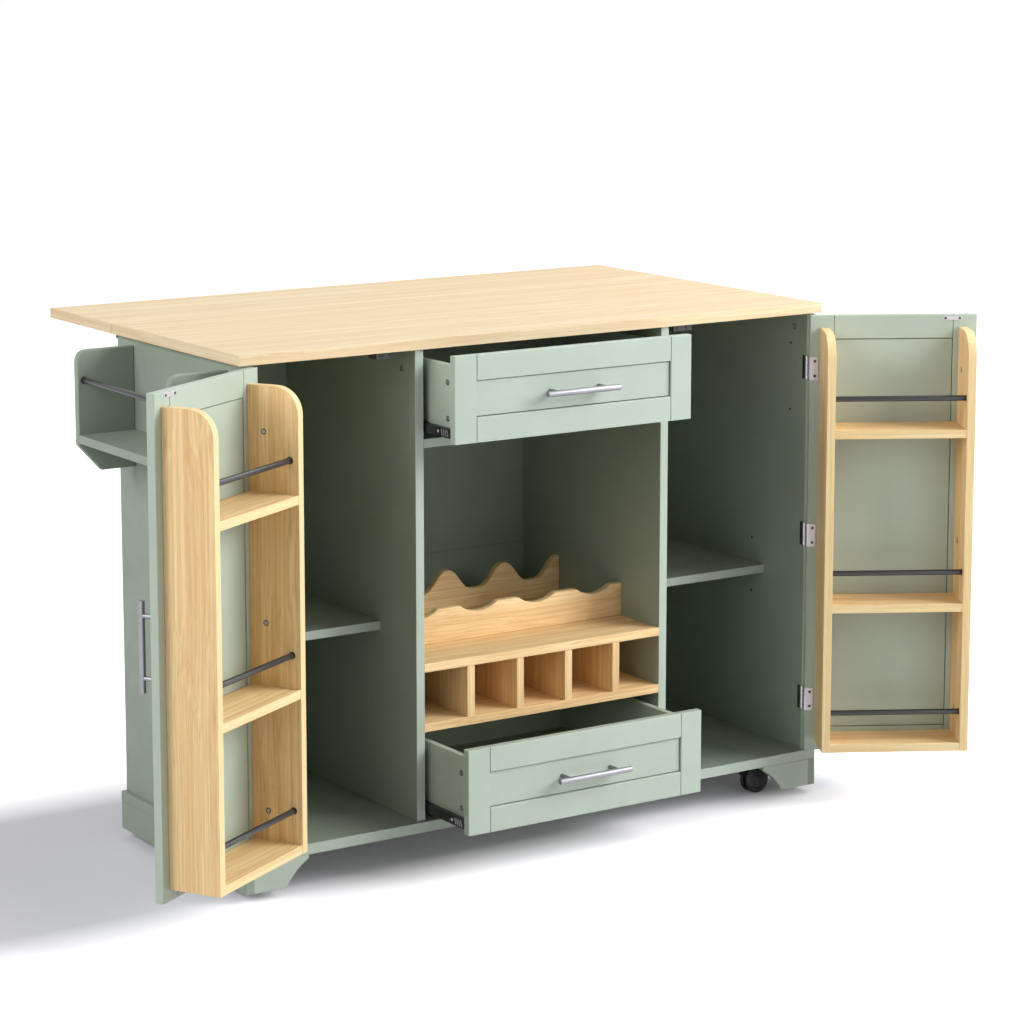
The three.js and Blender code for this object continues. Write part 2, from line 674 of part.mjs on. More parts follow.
add('side_rack_end_front', rackEnd(RACK_FRONT, 1), PAINT)
add('side_rack_end_rear', rackEnd(RACK_REAR - BOARD, -1), PAINT)
add('side_rack_shelf', rackShelf(), PAINT)
add('side_rack_rod', rackRod(), BLACK_STEEL)
addPair('magnet_catch', magnetCatch(), GREY_PLASTIC)
HINGE_LEVELS.forEach((z, i) => addPair(`door_hinge_${i + 1}`, doorHinge(z), NICKEL))
addPair('leaf_hinge', leafHinge(), BLACK_STEEL)
addPair('bracket_leg', bracketLeg(), BLACK_STEEL)

add('drop_leaf', dropLeaf(), OAK)
addPair('bracket_arm', bracketArm(), BLACK_STEEL)
addPair('bracket_strap', bracketStrap(), BLACK_STEEL)

addPair('door', swing(doorLeaf()), PAINT)
addPair('spice_rack', swing(spiceRack()), OAK)
addPair('door_handle', swing(doorHandle()), NICKEL)

const drawers = [['upper', UPPER_FRONT_TOP, UPPER_PULL], ['lower', LOWER_FRONT_TOP, LOWER_PULL]]
for (const [place, top, pull] of drawers) {
  add(`drawer_front_${place}`, drawerFront(top).translate([0, -pull, 0]), PAINT)
  add(`drawer_box_${place}`, drawerBox(top).translate([0, -pull, 0]), PAINT)
  add(`drawer_handle_${place}`, drawerHandle(top).translate([0, -pull, 0]), NICKEL)
}

const corners = [
  ['front_left', SWIVEL_X, SWIVEL_Y],
  ['front_right', TOP_LENGTH - SWIVEL_X, SWIVEL_Y],
  ['rear_left', SWIVEL_X, REAR - SWIVEL_Y],
  ['rear_right', TOP_LENGTH - SWIVEL_X, REAR - SWIVEL_Y]
]
for (const [place, x, y] of corners) {
  add(`caster_fork_${place}`, casterFork(x, y), BLACK_PLASTIC)
  add(`caster_wheel_${place}`, casterWheel(x, y), BLACK_PLASTIC)
}

// The origin is the centre of the footprint, on the floor
const bounds = new THREE.Box3().setFromObject(inner)
const middle = bounds.getCenter(new THREE.Vector3())
inner.position.set(-middle.x, -middle.y, -bounds.min.z)

export default group
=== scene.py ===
# %% [markdown]
# # A drop leaf kitchen island
#
# A rolling island stands on four casters: a carcass of painted board with three bays, two doors
# that carry oak spice racks, two drawers, a bottle bay, a small rack on its left end, and an oak
# worktop with a leaf behind it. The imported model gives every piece's place, and this lesson gives
# the pieces their looks. Lengths are worked out in millimetres, in the frame in which the island
# was drawn: x to the right from the worktop's left end, y to the back from its front edge, z up
# from the floor.

import math

import bpy
import numpy as np
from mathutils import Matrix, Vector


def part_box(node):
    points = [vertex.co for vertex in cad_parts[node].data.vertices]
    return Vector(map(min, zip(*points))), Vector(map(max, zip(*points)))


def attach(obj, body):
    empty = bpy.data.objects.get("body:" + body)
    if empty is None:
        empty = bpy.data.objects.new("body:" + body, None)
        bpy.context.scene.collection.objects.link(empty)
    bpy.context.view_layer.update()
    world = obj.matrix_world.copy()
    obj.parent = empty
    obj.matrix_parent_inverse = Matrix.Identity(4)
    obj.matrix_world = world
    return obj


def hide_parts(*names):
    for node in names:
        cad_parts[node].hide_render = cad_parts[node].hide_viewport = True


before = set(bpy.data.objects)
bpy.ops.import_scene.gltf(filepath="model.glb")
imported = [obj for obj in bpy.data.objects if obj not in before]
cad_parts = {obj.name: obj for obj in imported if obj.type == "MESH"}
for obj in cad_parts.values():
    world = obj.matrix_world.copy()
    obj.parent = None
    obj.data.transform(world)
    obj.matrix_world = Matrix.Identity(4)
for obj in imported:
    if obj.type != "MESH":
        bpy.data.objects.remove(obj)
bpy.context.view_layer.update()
ORIGIN = np.array([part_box("worktop")[0][0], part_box("worktop")[0][1], 0.0])


def node_box(node):
    """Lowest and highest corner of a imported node, in millimetres of the drawing frame."""
    low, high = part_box(node)
    return (np.array(low) - ORIGIN) * 1000, (np.array(high) - ORIGIN) * 1000


print("worktop", *np.round(node_box("worktop"), 1))

# %% [markdown]
# ## Finishes
#
# Colours are written as they look on a screen, so one function turns them to the linear values
# that a shader wants, and one function adds a node with its settings and links. Each finish then
# starts from what the real one is.

# %% Colours and nodes


def linear(code):
    """sRGB hex to linear RGBA: v/12.92 below 0.04045, ((v + 0.055)/1.055)^2.4 above."""
    values = [int(code[i:i + 2], 16) / 255 for i in (0, 2, 4)]
    return (*[v / 12.92 if v <= 0.04045 else ((v + 0.055) / 1.055) ** 2.4 for v in values], 1.0)


def add(tree, kind, settings=None, inputs=None):
    """A node of that kind. An input is a constant, or the socket that feeds it."""
    node = tree.nodes.new(kind)
    for key, value in (settings or {}).items():
        setattr(node, key, value)
    for key, value in (inputs or {}).items():
        if isinstance(value, bpy.types.NodeSocket):
            tree.links.new(value, node.inputs[key])
        else:
            node.inputs[key].default_value = value
    return node


def finish(name, metallic=0.0, **constants):
    """A material with a shader whose constants are set on its own sockets, and its tree."""
    material = bpy.data.materials.new(name)
    material.use_nodes = True
    tree = material.node_tree
    tree.nodes.clear()
    shader = add(tree, "ShaderNodeBsdfPrincipled", None, {"Metallic": metallic, **constants})
    add(tree, "ShaderNodeOutputMaterial", None, {"Surface": shader.outputs[0]})
    return material, tree, shader


def noise(tree, vector, size, detail=2.0, rough=0.5):
    """Noise whose blobs are size long, in the units of the vector; three sizes stretch it."""
    sizes = (size, size, size) if np.isscalar(size) else size
    scaled = add(tree, "ShaderNodeMapping", None, {0: vector, "Scale": tuple(1 / s for s in sizes)})
    node = add(tree, "ShaderNodeTexNoise", None,
               {"Vector": scaled.outputs[0], "Scale": 1.0, "Detail": detail, "Roughness": rough})
    return node.outputs[0]


def remap(tree, value, low, high, to_low=0.0, to_high=1.0):
    """The value's span from low to high, carried to another span and clamped."""
    node = add(tree, "ShaderNodeMapRange", {"clamp": True},
               {0: value, 1: low, 2: high, 3: to_low, 4: to_high})
    return node.outputs[0]


def blend_colours(tree, factor, first, second):
    """Two colours mixed by a factor."""
    node = add(tree, "ShaderNodeMix", {"data_type": "RGBA"}, {0: factor, 6: first, 7: second})
    return node.outputs[2]


def relief(tree, shader, height, depth, strength):
    """Bump of that depth in metres, from a height of 0 to 1."""
    node = add(tree, "ShaderNodeBump", None,
               {"Strength": strength, "Distance": depth, "Height": height})
    tree.links.new(node.outputs[0], shader.inputs["Normal"])


print("pure red is", np.round(linear("ff0000"), 3))

# %% [markdown]
# Doors and drawer fronts are **fibreboard sprayed in a satin sage lacquer**. Spraying leaves a
# faint orange peel a millimetre or two across, a sheen that is broad and soft, and a tone that
# wanders a little over a panel. The peel is drawn twice as coarse as it is, so that the render can
# show it. The boards of the carcass are **chipboard faced with a foil** of the same green. That one
# green is drawn twice: a lighter copy for the fronts, painted light, and a copy a shade deeper and
# a little flatter for the carcass, painted shade. Behind the open joints of a front lies a board
# painted dark as the shade in a joint.

# %% Painted board
MM = 0.001
USUAL = (0.3, 0.7)  # nearly all of the noise lies between these


def painted(name, light, dark, low, high, specular=0.5):
    """Satin sage: two close tones that wander over 90 mm, a sheen that varies over 24 mm, and a
    peel 2.2 mm across and 0.025 mm deep."""
    material, tree, shader = finish(name, 0.0, **{"Specular IOR Level": specular})
    place = add(tree, "ShaderNodeTexCoord").outputs["Object"]
    wander = noise(tree, place, 90 * MM, 3.0, 0.6)
    tone = blend_colours(tree, remap(tree, wander, *USUAL), linear(light), linear(dark))
    tree.links.new(tone, shader.inputs["Base Color"])
    sheen = remap(tree, noise(tree, place, 24 * MM, 3.0), *USUAL, low, high)
    tree.links.new(sheen, shader.inputs["Roughness"])
    relief(tree, shader, noise(tree, place, 2.2 * MM, 1.0), 0.025 * MM, 0.5)
    return material


# The fronts' lighter copy of the sage is painted light, the carcass's deeper copy painted shade.
GREEN_PAINTED_LIGHT = painted("sage_painted_light", "adbaad", "a8b6a8", 0.4, 0.5)
GREEN_PAINTED_SHADE = painted("sage_painted_shade", "909b8d", "8a9687", 0.5, 0.6, 0.35)
# The joint board is painted shade: as dark as the shade inside a joint.
JOINT_PAINTED_SHADE = painted("joint_painted_shade", "4b5347", "42493f", 0.7, 0.8, 0.3)
print(GREEN_PAINTED_LIGHT.name, GREEN_PAINTED_SHADE.name, JOINT_PAINTED_SHADE.name)

# %% [markdown]
# Worktop, spice racks, cubbies and rests are **boards faced with straight oak**. The eye reads
# three things: pale and darker bands of growth a centimetre or two wide that run the board's
# length, fine line streaks, and a few short dark pores. They follow the board and not the room, so
# each board carries its own grain coordinates in an attribute: along the fibres, across them, and
# through the thickness, in millimetres. Streaks and pores are drawn wider than real ones, which
# would be finer than a pixel. The worktop's facing is the same oak, drawn a little paler and greyer
# than that of the racks: painted sheen, from white light caught at a low angle. The racks' deeper,
# warmer oak is partly painted shade. The bands glued on the racks' front edges are paler and
# yellower.

# %% Oak


def oak(name, light, middle, dark):
    """Oak: bands 16 mm wide and 2.6 m long, streaks 3.2 mm wide and 0.7 m long, and pores 60 mm by
    1.5 mm. All drift sideways by up to 14 mm, over lengths of 0.4 m."""
    material, tree, shader = finish(name, 0.0, **{"Specular IOR Level": 0.3})
    grain = add(tree, "ShaderNodeAttribute", {"attribute_name": "grain"}).outputs["Vector"]
    drift = remap(tree, noise(tree, grain, (420, 90, 90), 2.0), 0.0, 1.0, -14.0, 14.0)
    sideways = add(tree, "ShaderNodeCombineXYZ", None, {"Y": drift, "Z": drift})
    bent = add(tree, "ShaderNodeVectorMath", {"operation": "ADD"},
               {0: grain, 1: sideways.outputs[0]}).outputs[0]
    bands = remap(tree, noise(tree, bent, (2600, 16, 16), 3.0, 0.6), 0.36, 0.64)
    streaks = remap(tree, noise(tree, bent, (700, 3.2, 3.2), 3.0, 0.7), 0.36, 0.66)
    pores = remap(tree, noise(tree, bent, (60, 1.5, 1.5), 2.0, 0.6), 0.56, 0.74)
    ground = blend_colours(tree, bands, linear(light), linear(middle))
    streaked = blend_colours(tree, remap(tree, streaks, 0.0, 1.0, 0.0, 0.38), ground, linear(dark))
    dotted = blend_colours(tree, remap(tree, pores, 0.0, 1.0, 0.0, 0.34), streaked, linear(dark))
    tree.links.new(dotted, shader.inputs["Base Color"])
    tree.links.new(remap(tree, streaks, 0.0, 1.0, 0.52, 0.62), shader.inputs["Roughness"])
    relief(tree, shader, remap(tree, pores, 0.0, 1.0, 1.0, 0.0), 0.05 * MM, 0.4)
    return material


# Racks' oak: deeper and warmer, partly painted shade. Worktop's oak: paler and greyer, painted
# sheen.
OAK = oak("oak_faced_board", "fbdfab", "ecc68f", "b07a42")
OAK_PAINTED_SHEEN = oak("oak_painted_sheen", "eedebe", "e3cba4", "c29d6e")
EDGE_OAK = oak("oak_edge_band", "f1dcae", "e8ce9a", "cba66e")
print(OAK.name, OAK_PAINTED_SHEEN.name, EDGE_OAK.name)

# %% [markdown]
# Handles are **brushed nickel**: the brush runs along the bar and draws its highlight out across
# it. Hinges, strikes and cam heads are **satin zinc**, brushed finer and paler; the hinge leaf on
# the side panel is drawn in black steel instead, as painted shade. Bars of the racks, slides and
# brackets are **black coated steel**, wheels and forks **moulded black plastic**, catches
# **moulded grey plastic**. Rims of cams, small screws, magnets and the rings at the side rack's
# bar are a **dark metal** that is partly painted shade of their bores and holes, and holes are
# drawn as dark discs of painted shade.

# %% Metals and plastics


def brushed(name, light, dark, low, high):
    """Metal brushed along its grain: scratches 40 mm by 0.7 mm vary the tone and the roughness."""
    material, tree, shader = finish(name, 1.0)
    grain = add(tree, "ShaderNodeAttribute", {"attribute_name": "grain"}).outputs["Vector"]
    scratches = noise(tree, grain, (40, 0.7, 0.7), 2.0)
    tree.links.new(remap(tree, scratches, *USUAL, low, high), shader.inputs["Roughness"])
    tone = blend_colours(tree, remap(tree, scratches, *USUAL), linear(light), linear(dark))
    tree.links.new(tone, shader.inputs["Base Color"])
    relief(tree, shader, scratches, 0.01 * MM, 0.2)
    return material


def speckled(name, light, dark, size, low, high, metallic=0.0):
    """A dark fine surface: tone and roughness vary with a grit of that size, in millimetres."""
    material, tree, shader = finish(name, metallic)
    place = add(tree, "ShaderNodeTexCoord").outputs["Object"]
    grit = noise(tree, place, size * MM, 2.0)
    tone = blend_colours(tree, remap(tree, grit, *USUAL), linear(light), linear(dark))
    tree.links.new(tone, shader.inputs["Base Color"])
    tree.links.new(remap(tree, grit, *USUAL, low, high), shader.inputs["Roughness"])
    relief(tree, shader, grit, 0.03 * MM, 0.4)
    return material


NICKEL = brushed("brushed_nickel", "929196", "7c7b80", 0.42, 0.5)
ZINC = brushed("satin_zinc", "c4c0c3", "a8a4a8", 0.36, 0.46)
STEEL = speckled("black_coated_steel", "26272b", "1d1e21", 1.5, 0.28, 0.36)
PLASTIC = speckled("moulded_black_plastic", "232427", "18191b", 1.2, 0.38, 0.55)
GREY = speckled("moulded_grey_plastic", "4c4e4f", "404243", 1.2, 0.42, 0.56)
# A dark metal for magnets, and painted shade for the rims of cams, screw holes and bar rings.
DARK_METAL_AND_SHADE = speckled("dark_metal_and_hole_shade", "4a4f47", "34382f", 1.0, 0.36, 0.5, 0.6)
# Dark discs for holes: painted shade.
DARK_DISC_SHADE = speckled("hole_painted_shade", "20221f", "151613", 2.0, 0.6, 0.8)

# %% [markdown]
# ## Shapes
#
# Nearly every piece is a board, so the first shape is a **slab**: a closed outline carried through
# a thickness, with its sharp edges eased as sandpaper leaves them. A bevel modifier would do it
# too, but the outline is known, so the eased rings can be written down at once. The second shape
# is a **turned** one: a profile carried round an axis, for bars, wheels and pins. Both are
# whole-array arithmetic.

# %% Slab
PLANES = {"x": (1, 2, 0), "y": (2, 0, 1), "z": (0, 1, 2)}


def mitred(outline, inset):
    """The outline drawn in: each corner moves by inset·(n1 + n2)/(1 + n1·n2), where n1 and n2 are
    the normals of its edges."""
    ahead = np.roll(outline, -1, axis=0) - outline
    ahead /= np.linalg.norm(ahead, axis=1)[:, None]
    after = np.stack([-ahead[:, 1], ahead[:, 0]], axis=1)
    before = np.roll(after, 1, axis=0)
    share = 1 + (after * before).sum(axis=1)
    return outline + inset * (after + before) / share[:, None]


def slab(outline, axis, low, high, ease=0.8, steps=2):
    """A board. Ring k is drawn in by r(1 - sin a) and lies r(1 - cos a) inside its face, with a
    from 0 to 90 degrees, so each arris is a quarter circle of radius r. A face closes each end."""
    outline = np.asarray(outline, float)
    turn = np.roll(outline, -1, axis=0)
    if (outline[:, 0] * turn[:, 1] - outline[:, 1] * turn[:, 0]).sum() < 0:
        outline = outline[::-1]
    a = np.linspace(0, np.pi / 2, steps + 1)
    inset, depth = ease * (1 - np.sin(a)), ease * (1 - np.cos(a))
    insets = np.concatenate([inset, inset[::-1]])
    levels = np.concatenate([low + depth, (high - depth)[::-1]])
    rings, count = len(levels), len(outline)
    flat = np.stack([mitred(outline, i) for i in insets])
    points = np.empty((rings, count, 3))
    u, v, w = PLANES[axis]
    points[..., u], points[..., v], points[..., w] = flat[..., 0], flat[..., 1], levels[:, None]
    return points.reshape(-1, 3), quads(rings, count) + [
        list(range(count - 1, -1, -1)), list(range((rings - 1) * count, rings * count))]


def quads(rings, count):
    """Faces between neighbouring rings of a grid, as lists. A ring's last point joins its first."""
    k = np.arange(rings - 1)[:, None] * count
    i = np.arange(count)[None, :]
    j = (i + 1) % count
    return np.stack([k + i, k + j, k + count + j, k + count + i], axis=-1).reshape(-1, 4).tolist()


def rectangle(u0, u1, v0, v1):
    """Corners of a rectangle, anticlockwise."""
    return np.array([(u0, v0), (u1, v0), (u1, v1), (u0, v1)])


def brick(low, high, axis="z", ease=0.8):
    """A square-edged board between two corners, with eased arrises."""
    u, v, w = PLANES[axis]
    return slab(rectangle(low[u], high[u], low[v], high[v]), axis, low[w], high[w], ease)


print("a board has", len(brick((0, 0, 0), (1, 1, 1), ease=0.1)[0]), "points")

# %% Turned shapes


def turned(profile, axis, centre, steps=32):
    """A profile of (radius, height) carried round an axis: centre + height·w + radius·(cos a·u +
    sin a·v). Where the profile starts and ends on the axis, the pole is one point."""
    profile = np.asarray(profile, float)
    a = np.linspace(0, 2 * np.pi, steps, endpoint=False)
    u, v, w = PLANES[axis]
    ring = profile[1:-1]
    points = np.empty((len(ring), steps, 3))
    points[..., u] = ring[:, :1] * np.cos(a)
    points[..., v] = ring[:, :1] * np.sin(a)
    points[..., w] = ring[:, 1:]
    poles = np.zeros((2, 3))
    poles[:, w] = profile[[0, -1], 1]
    points = np.concatenate([points.reshape(-1, 3), poles]) + np.asarray(centre, float)
    first, last = len(points) - 2, len(points) - 1
    top = (len(ring) - 1) * steps
    i = np.arange(steps)
    j = (i + 1) % steps
    low = np.stack([np.full(steps, first), j, i], axis=1).tolist()
    high = np.stack([np.full(steps, last), top + i, top + j], axis=1).tolist()
    return points, quads(len(ring), steps) + low + high


def rounded(radius, low, high, ease, steps=4):
    """Profile of a round bar from low to high with eased ends, from pole to pole."""
    a = np.linspace(0, np.pi / 2, steps + 1)
    start = np.stack([radius - ease + ease * np.sin(a), low + ease - ease * np.cos(a)], axis=1)
    end = np.stack([start[::-1, 0], high - (start[::-1, 1] - low)], axis=1)
    return np.concatenate([[(0, low)], start, end, [(0, high)]])


def bar(axis, u, v, radius, low, high, ease=0.6, steps=32):
    """A round bar along an axis, centred at (u, v) of that axis's plane."""
    centre = np.zeros(3)
    centre[PLANES[axis][0]], centre[PLANES[axis][1]] = u, v
    return turned(rounded(radius, low, high, ease), axis, centre, steps)


def screw(axis, u, v, face, out, radius):
    """A cross head screw: height over a polar grid is a dome, less a slot where |x| or |y| < 0.5 mm
    within 0.6 of the radius. out is +1 or -1, the way that it looks along the axis."""
    rings, steps = 9, 40
    rim, dome, slot_depth, sunk = 0.1, 0.9, 0.8, 0.8
    a = np.linspace(0, 2 * np.pi, steps, endpoint=False)
    r = np.linspace(radius, 0.25, rings)[:, None]
    x, y = r * np.cos(a), r * np.sin(a)
    slot = (np.minimum(abs(x), abs(y)) < 0.5) & (r < radius * 0.6)
    height = dome * (1 - (r / radius) ** 3) - slot_depth * slot + rim
    grid = np.stack([x, y, height], axis=-1)
    grid = np.concatenate([grid[:1] * (1, 1, 0) - (0, 0, sunk), grid]).reshape(-1, 3)
    points = np.concatenate([grid, [(0, 0, height.min())]])
    i = np.arange(steps)
    tip = np.stack([np.full(steps, len(points) - 1), rings * steps + i,
                    rings * steps + (i + 1) % steps], axis=1).tolist()
    faces = quads(rings + 1, steps) + tip + [list(range(steps - 1, -1, -1))]
    placed = np.empty_like(points)
    p, q, w = PLANES[axis]
    placed[:, p], placed[:, q] = u + points[:, 0], v + points[:, 1]
    placed[:, w] = face + out * points[:, 2]
    return placed, faces if out > 0 else [f[::-1] for f in faces]


def cam(axis, u, v, face, out):
    """A cam let 2 mm into a board: a dark rim 10 mm across, 0.3 mm proud, painted shade of its
    bore, and in it a grey head 6.8 mm across, 0.6 mm proud."""
    parts = []
    for radius, proud, finish_ in ((5.0, 0.3, DARK_METAL_AND_SHADE), (3.4, 0.6, ZINC)):
        low, high = sorted((face - 2 * out, face + proud * out))
        parts.append((bar(axis, u, v, radius, low, high, 0.2, 28), finish_, axis))
    return parts


print("a screw head has", len(screw("y", 0, 0, 0, -1, 3.0)[0]), "points")

# %% [markdown]
# A **piece** gathers shapes, each with its finish and the direction of its grain, puts them in
# their place and rides them on their body. Most shapes are drawn where they stand. A door is drawn
# shut, with its hinge pin at the origin, and one function per door carries its points to their
# place. Where points are mirrored the faces are turned round too, so that they still look
# outwards.

# %% Pieces
GRAIN = {"x": (0, 1, 2), "y": (1, 0, 2), "z": (2, 0, 1)}
LENGTH = round(float(node_box("worktop")[1][0]), 3)
GRAIN_REACH = 4000.0  # mm
SHARP = math.radians(20)
made = {}


def in_place(points):
    """Most points are drawn where they stand. The second value says whether faces turn round."""
    return points, False


def mirror(shape):
    """The same shape on the right half: x becomes the worktop's length less x."""
    points, faces = shape
    return points * (-1, 1, 1) + (LENGTH, 0, 0), [f[::-1] for f in faces]


def on_side(shapes, side):
    """Shapes of (shape, finish, grain axis), which are drawn on the left, for the left or right."""
    if side == "left":
        return shapes
    return [(mirror(shape), finish_, along) for shape, finish_, along in shapes]


def piece(name, shapes, body, nodes=(), place=in_place):
    """One object from shapes of (shape, finish, grain axis). Each shape's grain starts elsewhere,
    up to 4 m away in each direction."""
    finishes = list(dict.fromkeys(finish_ for _, finish_, _ in shapes))
    points, faces, grain, which, start = [], [], [], [], 0
    for order, (shape, finish_, along) in enumerate(shapes):
        seed = np.random.default_rng(len(made) * 97 + order)
        points.append(shape[0])
        grain.append(shape[0][:, GRAIN[along]] + seed.uniform(0, GRAIN_REACH, 3))
        faces += [[start + i for i in f] for f in shape[1]]
        which += [finishes.index(finish_)] * len(shape[1])
        start += len(shape[0])
    placed, flip = place(np.concatenate(points))
    if flip:
        faces = [f[::-1] for f in faces]
    mesh = bpy.data.meshes.new(name)
    mesh.from_pydata((placed * MM + ORIGIN).tolist(), [], faces)
    mesh.polygons.foreach_set("material_index", which)
    mesh.attributes.new("grain", "FLOAT_VECTOR", "POINT").data.foreach_set(
        "vector", np.concatenate(grain).astype(np.float32).ravel())
    for material in finishes:
        mesh.materials.append(material)
    mesh.shade_smooth()
    mesh.set_sharp_from_angle(angle=SHARP)
    mesh.validate()
    thing = bpy.data.objects.new(name, mesh)
    bpy.context.scene.collection.objects.link(thing)
    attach(thing, body)
    if nodes:
        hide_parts(*nodes)
    made[name] = thing


def board(name, node, finish_, along, axis, ease=0.8):
    """A plain board of the carcass that fills its node's box."""
    piece(name, [(brick(*node_box(node), axis, ease), finish_, along)], "carcass", [node])


BAND = 1.0


def banded(low, high, along, axis):
    """A board between two corners, with a glued front band in the fronts' sage, painted light."""
    core = brick((low[0], low[1] + BAND, low[2]), high, axis, 0.3)
    edge = brick(low, (high[0], low[1] + BAND, high[2]), "y", 0.4)
    return [(core, GREEN_PAINTED_SHADE, along), (edge, GREEN_PAINTED_LIGHT, "z")]


def banded_board(name, node, along, axis):
    """A banded board of the carcass that fills its node's box."""
    piece(name, banded(*node_box(node), along, axis), "carcass", [node])


SIDES = ("left", "right")

# %% [markdown]
# ## Worktop and leaf
#
# Both are 18 mm boards whose oak face runs the length of the island. Their ends are covered by a
# glued band 1 mm thick whose grain runs along the edge, so each board is drawn a millimetre short
# at both ends, and its bands stay 0.1 mm shy of its faces. The leaf stands behind a seam less than
# a millimetre wide.

# %% Worktop, leaf and bottom panel
SHY = 0.1
for name, node, body in (("worktop_board", "worktop", "carcass"),
                         ("leaf_board", "drop_leaf", "leaf")):
    low, high = node_box(node)
    middle = brick((low[0] + BAND, low[1], low[2]), (high[0] - BAND, high[1], high[2]), "z", 0.9)
    bands = [brick((x, low[1] + SHY, low[2] + SHY), (x + BAND, high[1] - SHY, high[2] - SHY),
                   "x", 0.45) for x in (low[0], high[0] - BAND)]
    piece(name, [(middle, OAK_PAINTED_SHEEN, "x")] + [(b, OAK_PAINTED_SHEEN, "y") for b in bands], body, [node])
banded_board("bottom_board", "bottom_panel", "x", "z")
print("seam", round(float(node_box("drop_leaf")[0][1] - node_box("worktop")[1][1]), 2), "mm")

# %% [markdown]
# ## Carcass
#
# Uprights, shelves and thin back sheets, drawn in the carcass's deeper sage, which is painted
# shade. Each fills its node's box, so the imported model's places and fits hold here as well. The
# front edges of uprights and shelves are covered by a glued band in the fronts' lighter sage,
# painted light, which the eye reads as pale lines in front of the dark bays.

# %% Uprights, shelves and backs
for side in SIDES:
    banded_board(f"side_board_{side}", f"side_panel_{side}", "z", "x")
    banded_board(f"bay_shelf_{side}", f"shelf_{side}", "x", "z")
    board(f"bay_back_{side}", f"back_{side}", GREEN_PAINTED_SHADE, "z", "y", ease=0.4)
board("centre_back_upper", "back_centre_upper", GREEN_PAINTED_SHADE, "z", "y", ease=0.6)
board("centre_back_lower", "back_centre_lower", GREEN_PAINTED_SHADE, "z", "y", ease=0.6)
banded_board("drawer_divider_board", "drawer_divider", "x", "z")
board("cubby_top_board", "cubby_top", OAK, "x", "z")
print(len(made), "pieces")

# %% Partitions with the channels of the drawer slides
FRONT = float(node_box("side_panel_left")[0][1])
BOARD, PANEL = 15.0, 16.0
PART_OUT = float(node_box("partition_left")[0][0])
PART_IN = PART_OUT + PANEL
SLIDE, SLIDE_LENGTH, SLIDE_LEVELS = 22.0, 400.0, (754.0, 93.0)


def slide_channel(z):
    """A C section, open to the bay, carried along the partition with 1.5 mm of it in the board."""
    x0, x1 = PART_IN - 1.5, PART_IN + 9.7
    y0 = FRONT + BOARD + 2.5
    web, lip = x0 + 3, 2.0
    section = [(z, x0), (z, x1), (z + lip, x1), (z + lip, web), (z + SLIDE - lip, web),
               (z + SLIDE - lip, x1), (z + SLIDE, x1), (z + SLIDE, x0)]
    return slab(section, "y", y0, y0 + SLIDE_LENGTH, 0.4)


low, high = node_box("partition_left")
shapes = banded(low, (PART_IN, high[1], high[2]), "z", "x")
shapes += [(slide_channel(z), STEEL, "y") for z in SLIDE_LEVELS]
for side in SIDES:
    piece(f"partition_board_{side}", on_side(shapes, side), "carcass", [f"partition_{side}"])
print("bay between partitions", round(LENGTH - 2 * PART_IN, 1), "mm")

# %% [markdown]
# The **plinth** lifts the carcass off its casters: a straight board along each end, and at each
# corner a bracket foot, with a small lip, a concave sweep and a rounded toe. Sweep and toe are
# quadratic curves, each the sum of three points weighted by (1 - t)², 2t(1 - t) and t².

# %% Plinth


def curve(start, bend, end, steps=10):
    """A quadratic curve: (1 - t)² start + 2t(1 - t) bend + t² end."""
    t = np.linspace(0, 1, steps + 1)[:, None]
    start, bend, end = (np.array([p], float) for p in (start, bend, end))
    return (1 - t) ** 2 * start + 2 * t * (1 - t) * bend + t ** 2 * end


foot_low, foot_high = node_box("plinth_left")
BASE, TOP = float(foot_low[2]), float(foot_high[2])
FOOT_LENGTH, TOE, TOE_RADIUS, LIP, SWEEP = 120.0, 74.0, 5.5, 6.0, 0.36
FOOT_START = PANEL - 0.8
toe_z, lip_z, toe_x = BASE + TOE_RADIUS, TOP - LIP, TOE + TOE_RADIUS
bend = (lip_z - (lip_z - toe_z) * SWEEP, toe_x + (FOOT_LENGTH - TOE) * SWEEP)
foot = np.concatenate([
    [(BASE, FOOT_START), (TOP, FOOT_START), (TOP, FOOT_LENGTH)],
    curve((lip_z, FOOT_LENGTH), bend, (toe_z, toe_x)),
    curve((toe_z, toe_x), (BASE, toe_x), (BASE, TOE))[1:],
])
# The feet are drawn in the fronts' lighter sage, painted light, the end board in the deeper sage,
# painted shade.
shapes = [(brick(foot_low, (PANEL, foot_high[1], TOP), "x"), GREEN_PAINTED_SHADE, "y"),
          (slab(foot, "y", foot_low[1], foot_low[1] + PANEL), GREEN_PAINTED_LIGHT, "x"),
          (slab(foot, "y", foot_high[1] - PANEL, foot_high[1]), GREEN_PAINTED_LIGHT, "x")]
for side in SIDES:
    piece(f"plinth_board_{side}", on_side(shapes, side), "carcass", [f"plinth_{side}"])
print("foot", round(TOP - BASE, 1), "mm high")

# %% [markdown]
# ## Bottle bay
#
# Five cubbies stand under an oak board, and on it lie the bottles, necks forward. The front rest
# has round dips between flat crests for the necks. The rear rest is a full wave for the bodies.
# Each upper edge is a function of x, so the outline is that function sampled across the bay.

# %% Cubbies
CELLS, HOUSED = 5, 0.5
low, high = node_box("cubby_rack")
base_top = low[2] + BOARD
span = LENGTH - 2 * PART_IN
cell = (span - (CELLS - 1) * BOARD) / CELLS
shapes = [(brick(low, (high[0], high[1], base_top), "z"), OAK, "x")]
for i in range(1, CELLS):
    x0 = PART_IN + i * cell + (i - 1) * BOARD
    upright = brick((x0, low[1], base_top - HOUSED), (x0 + BOARD, high[1], high[2]), "x")
    shapes.append((upright, OAK, "z"))
piece("cubby_boards", shapes, "carcass", ["cubby_rack"])
print("cubby", round(cell, 1), "mm wide")

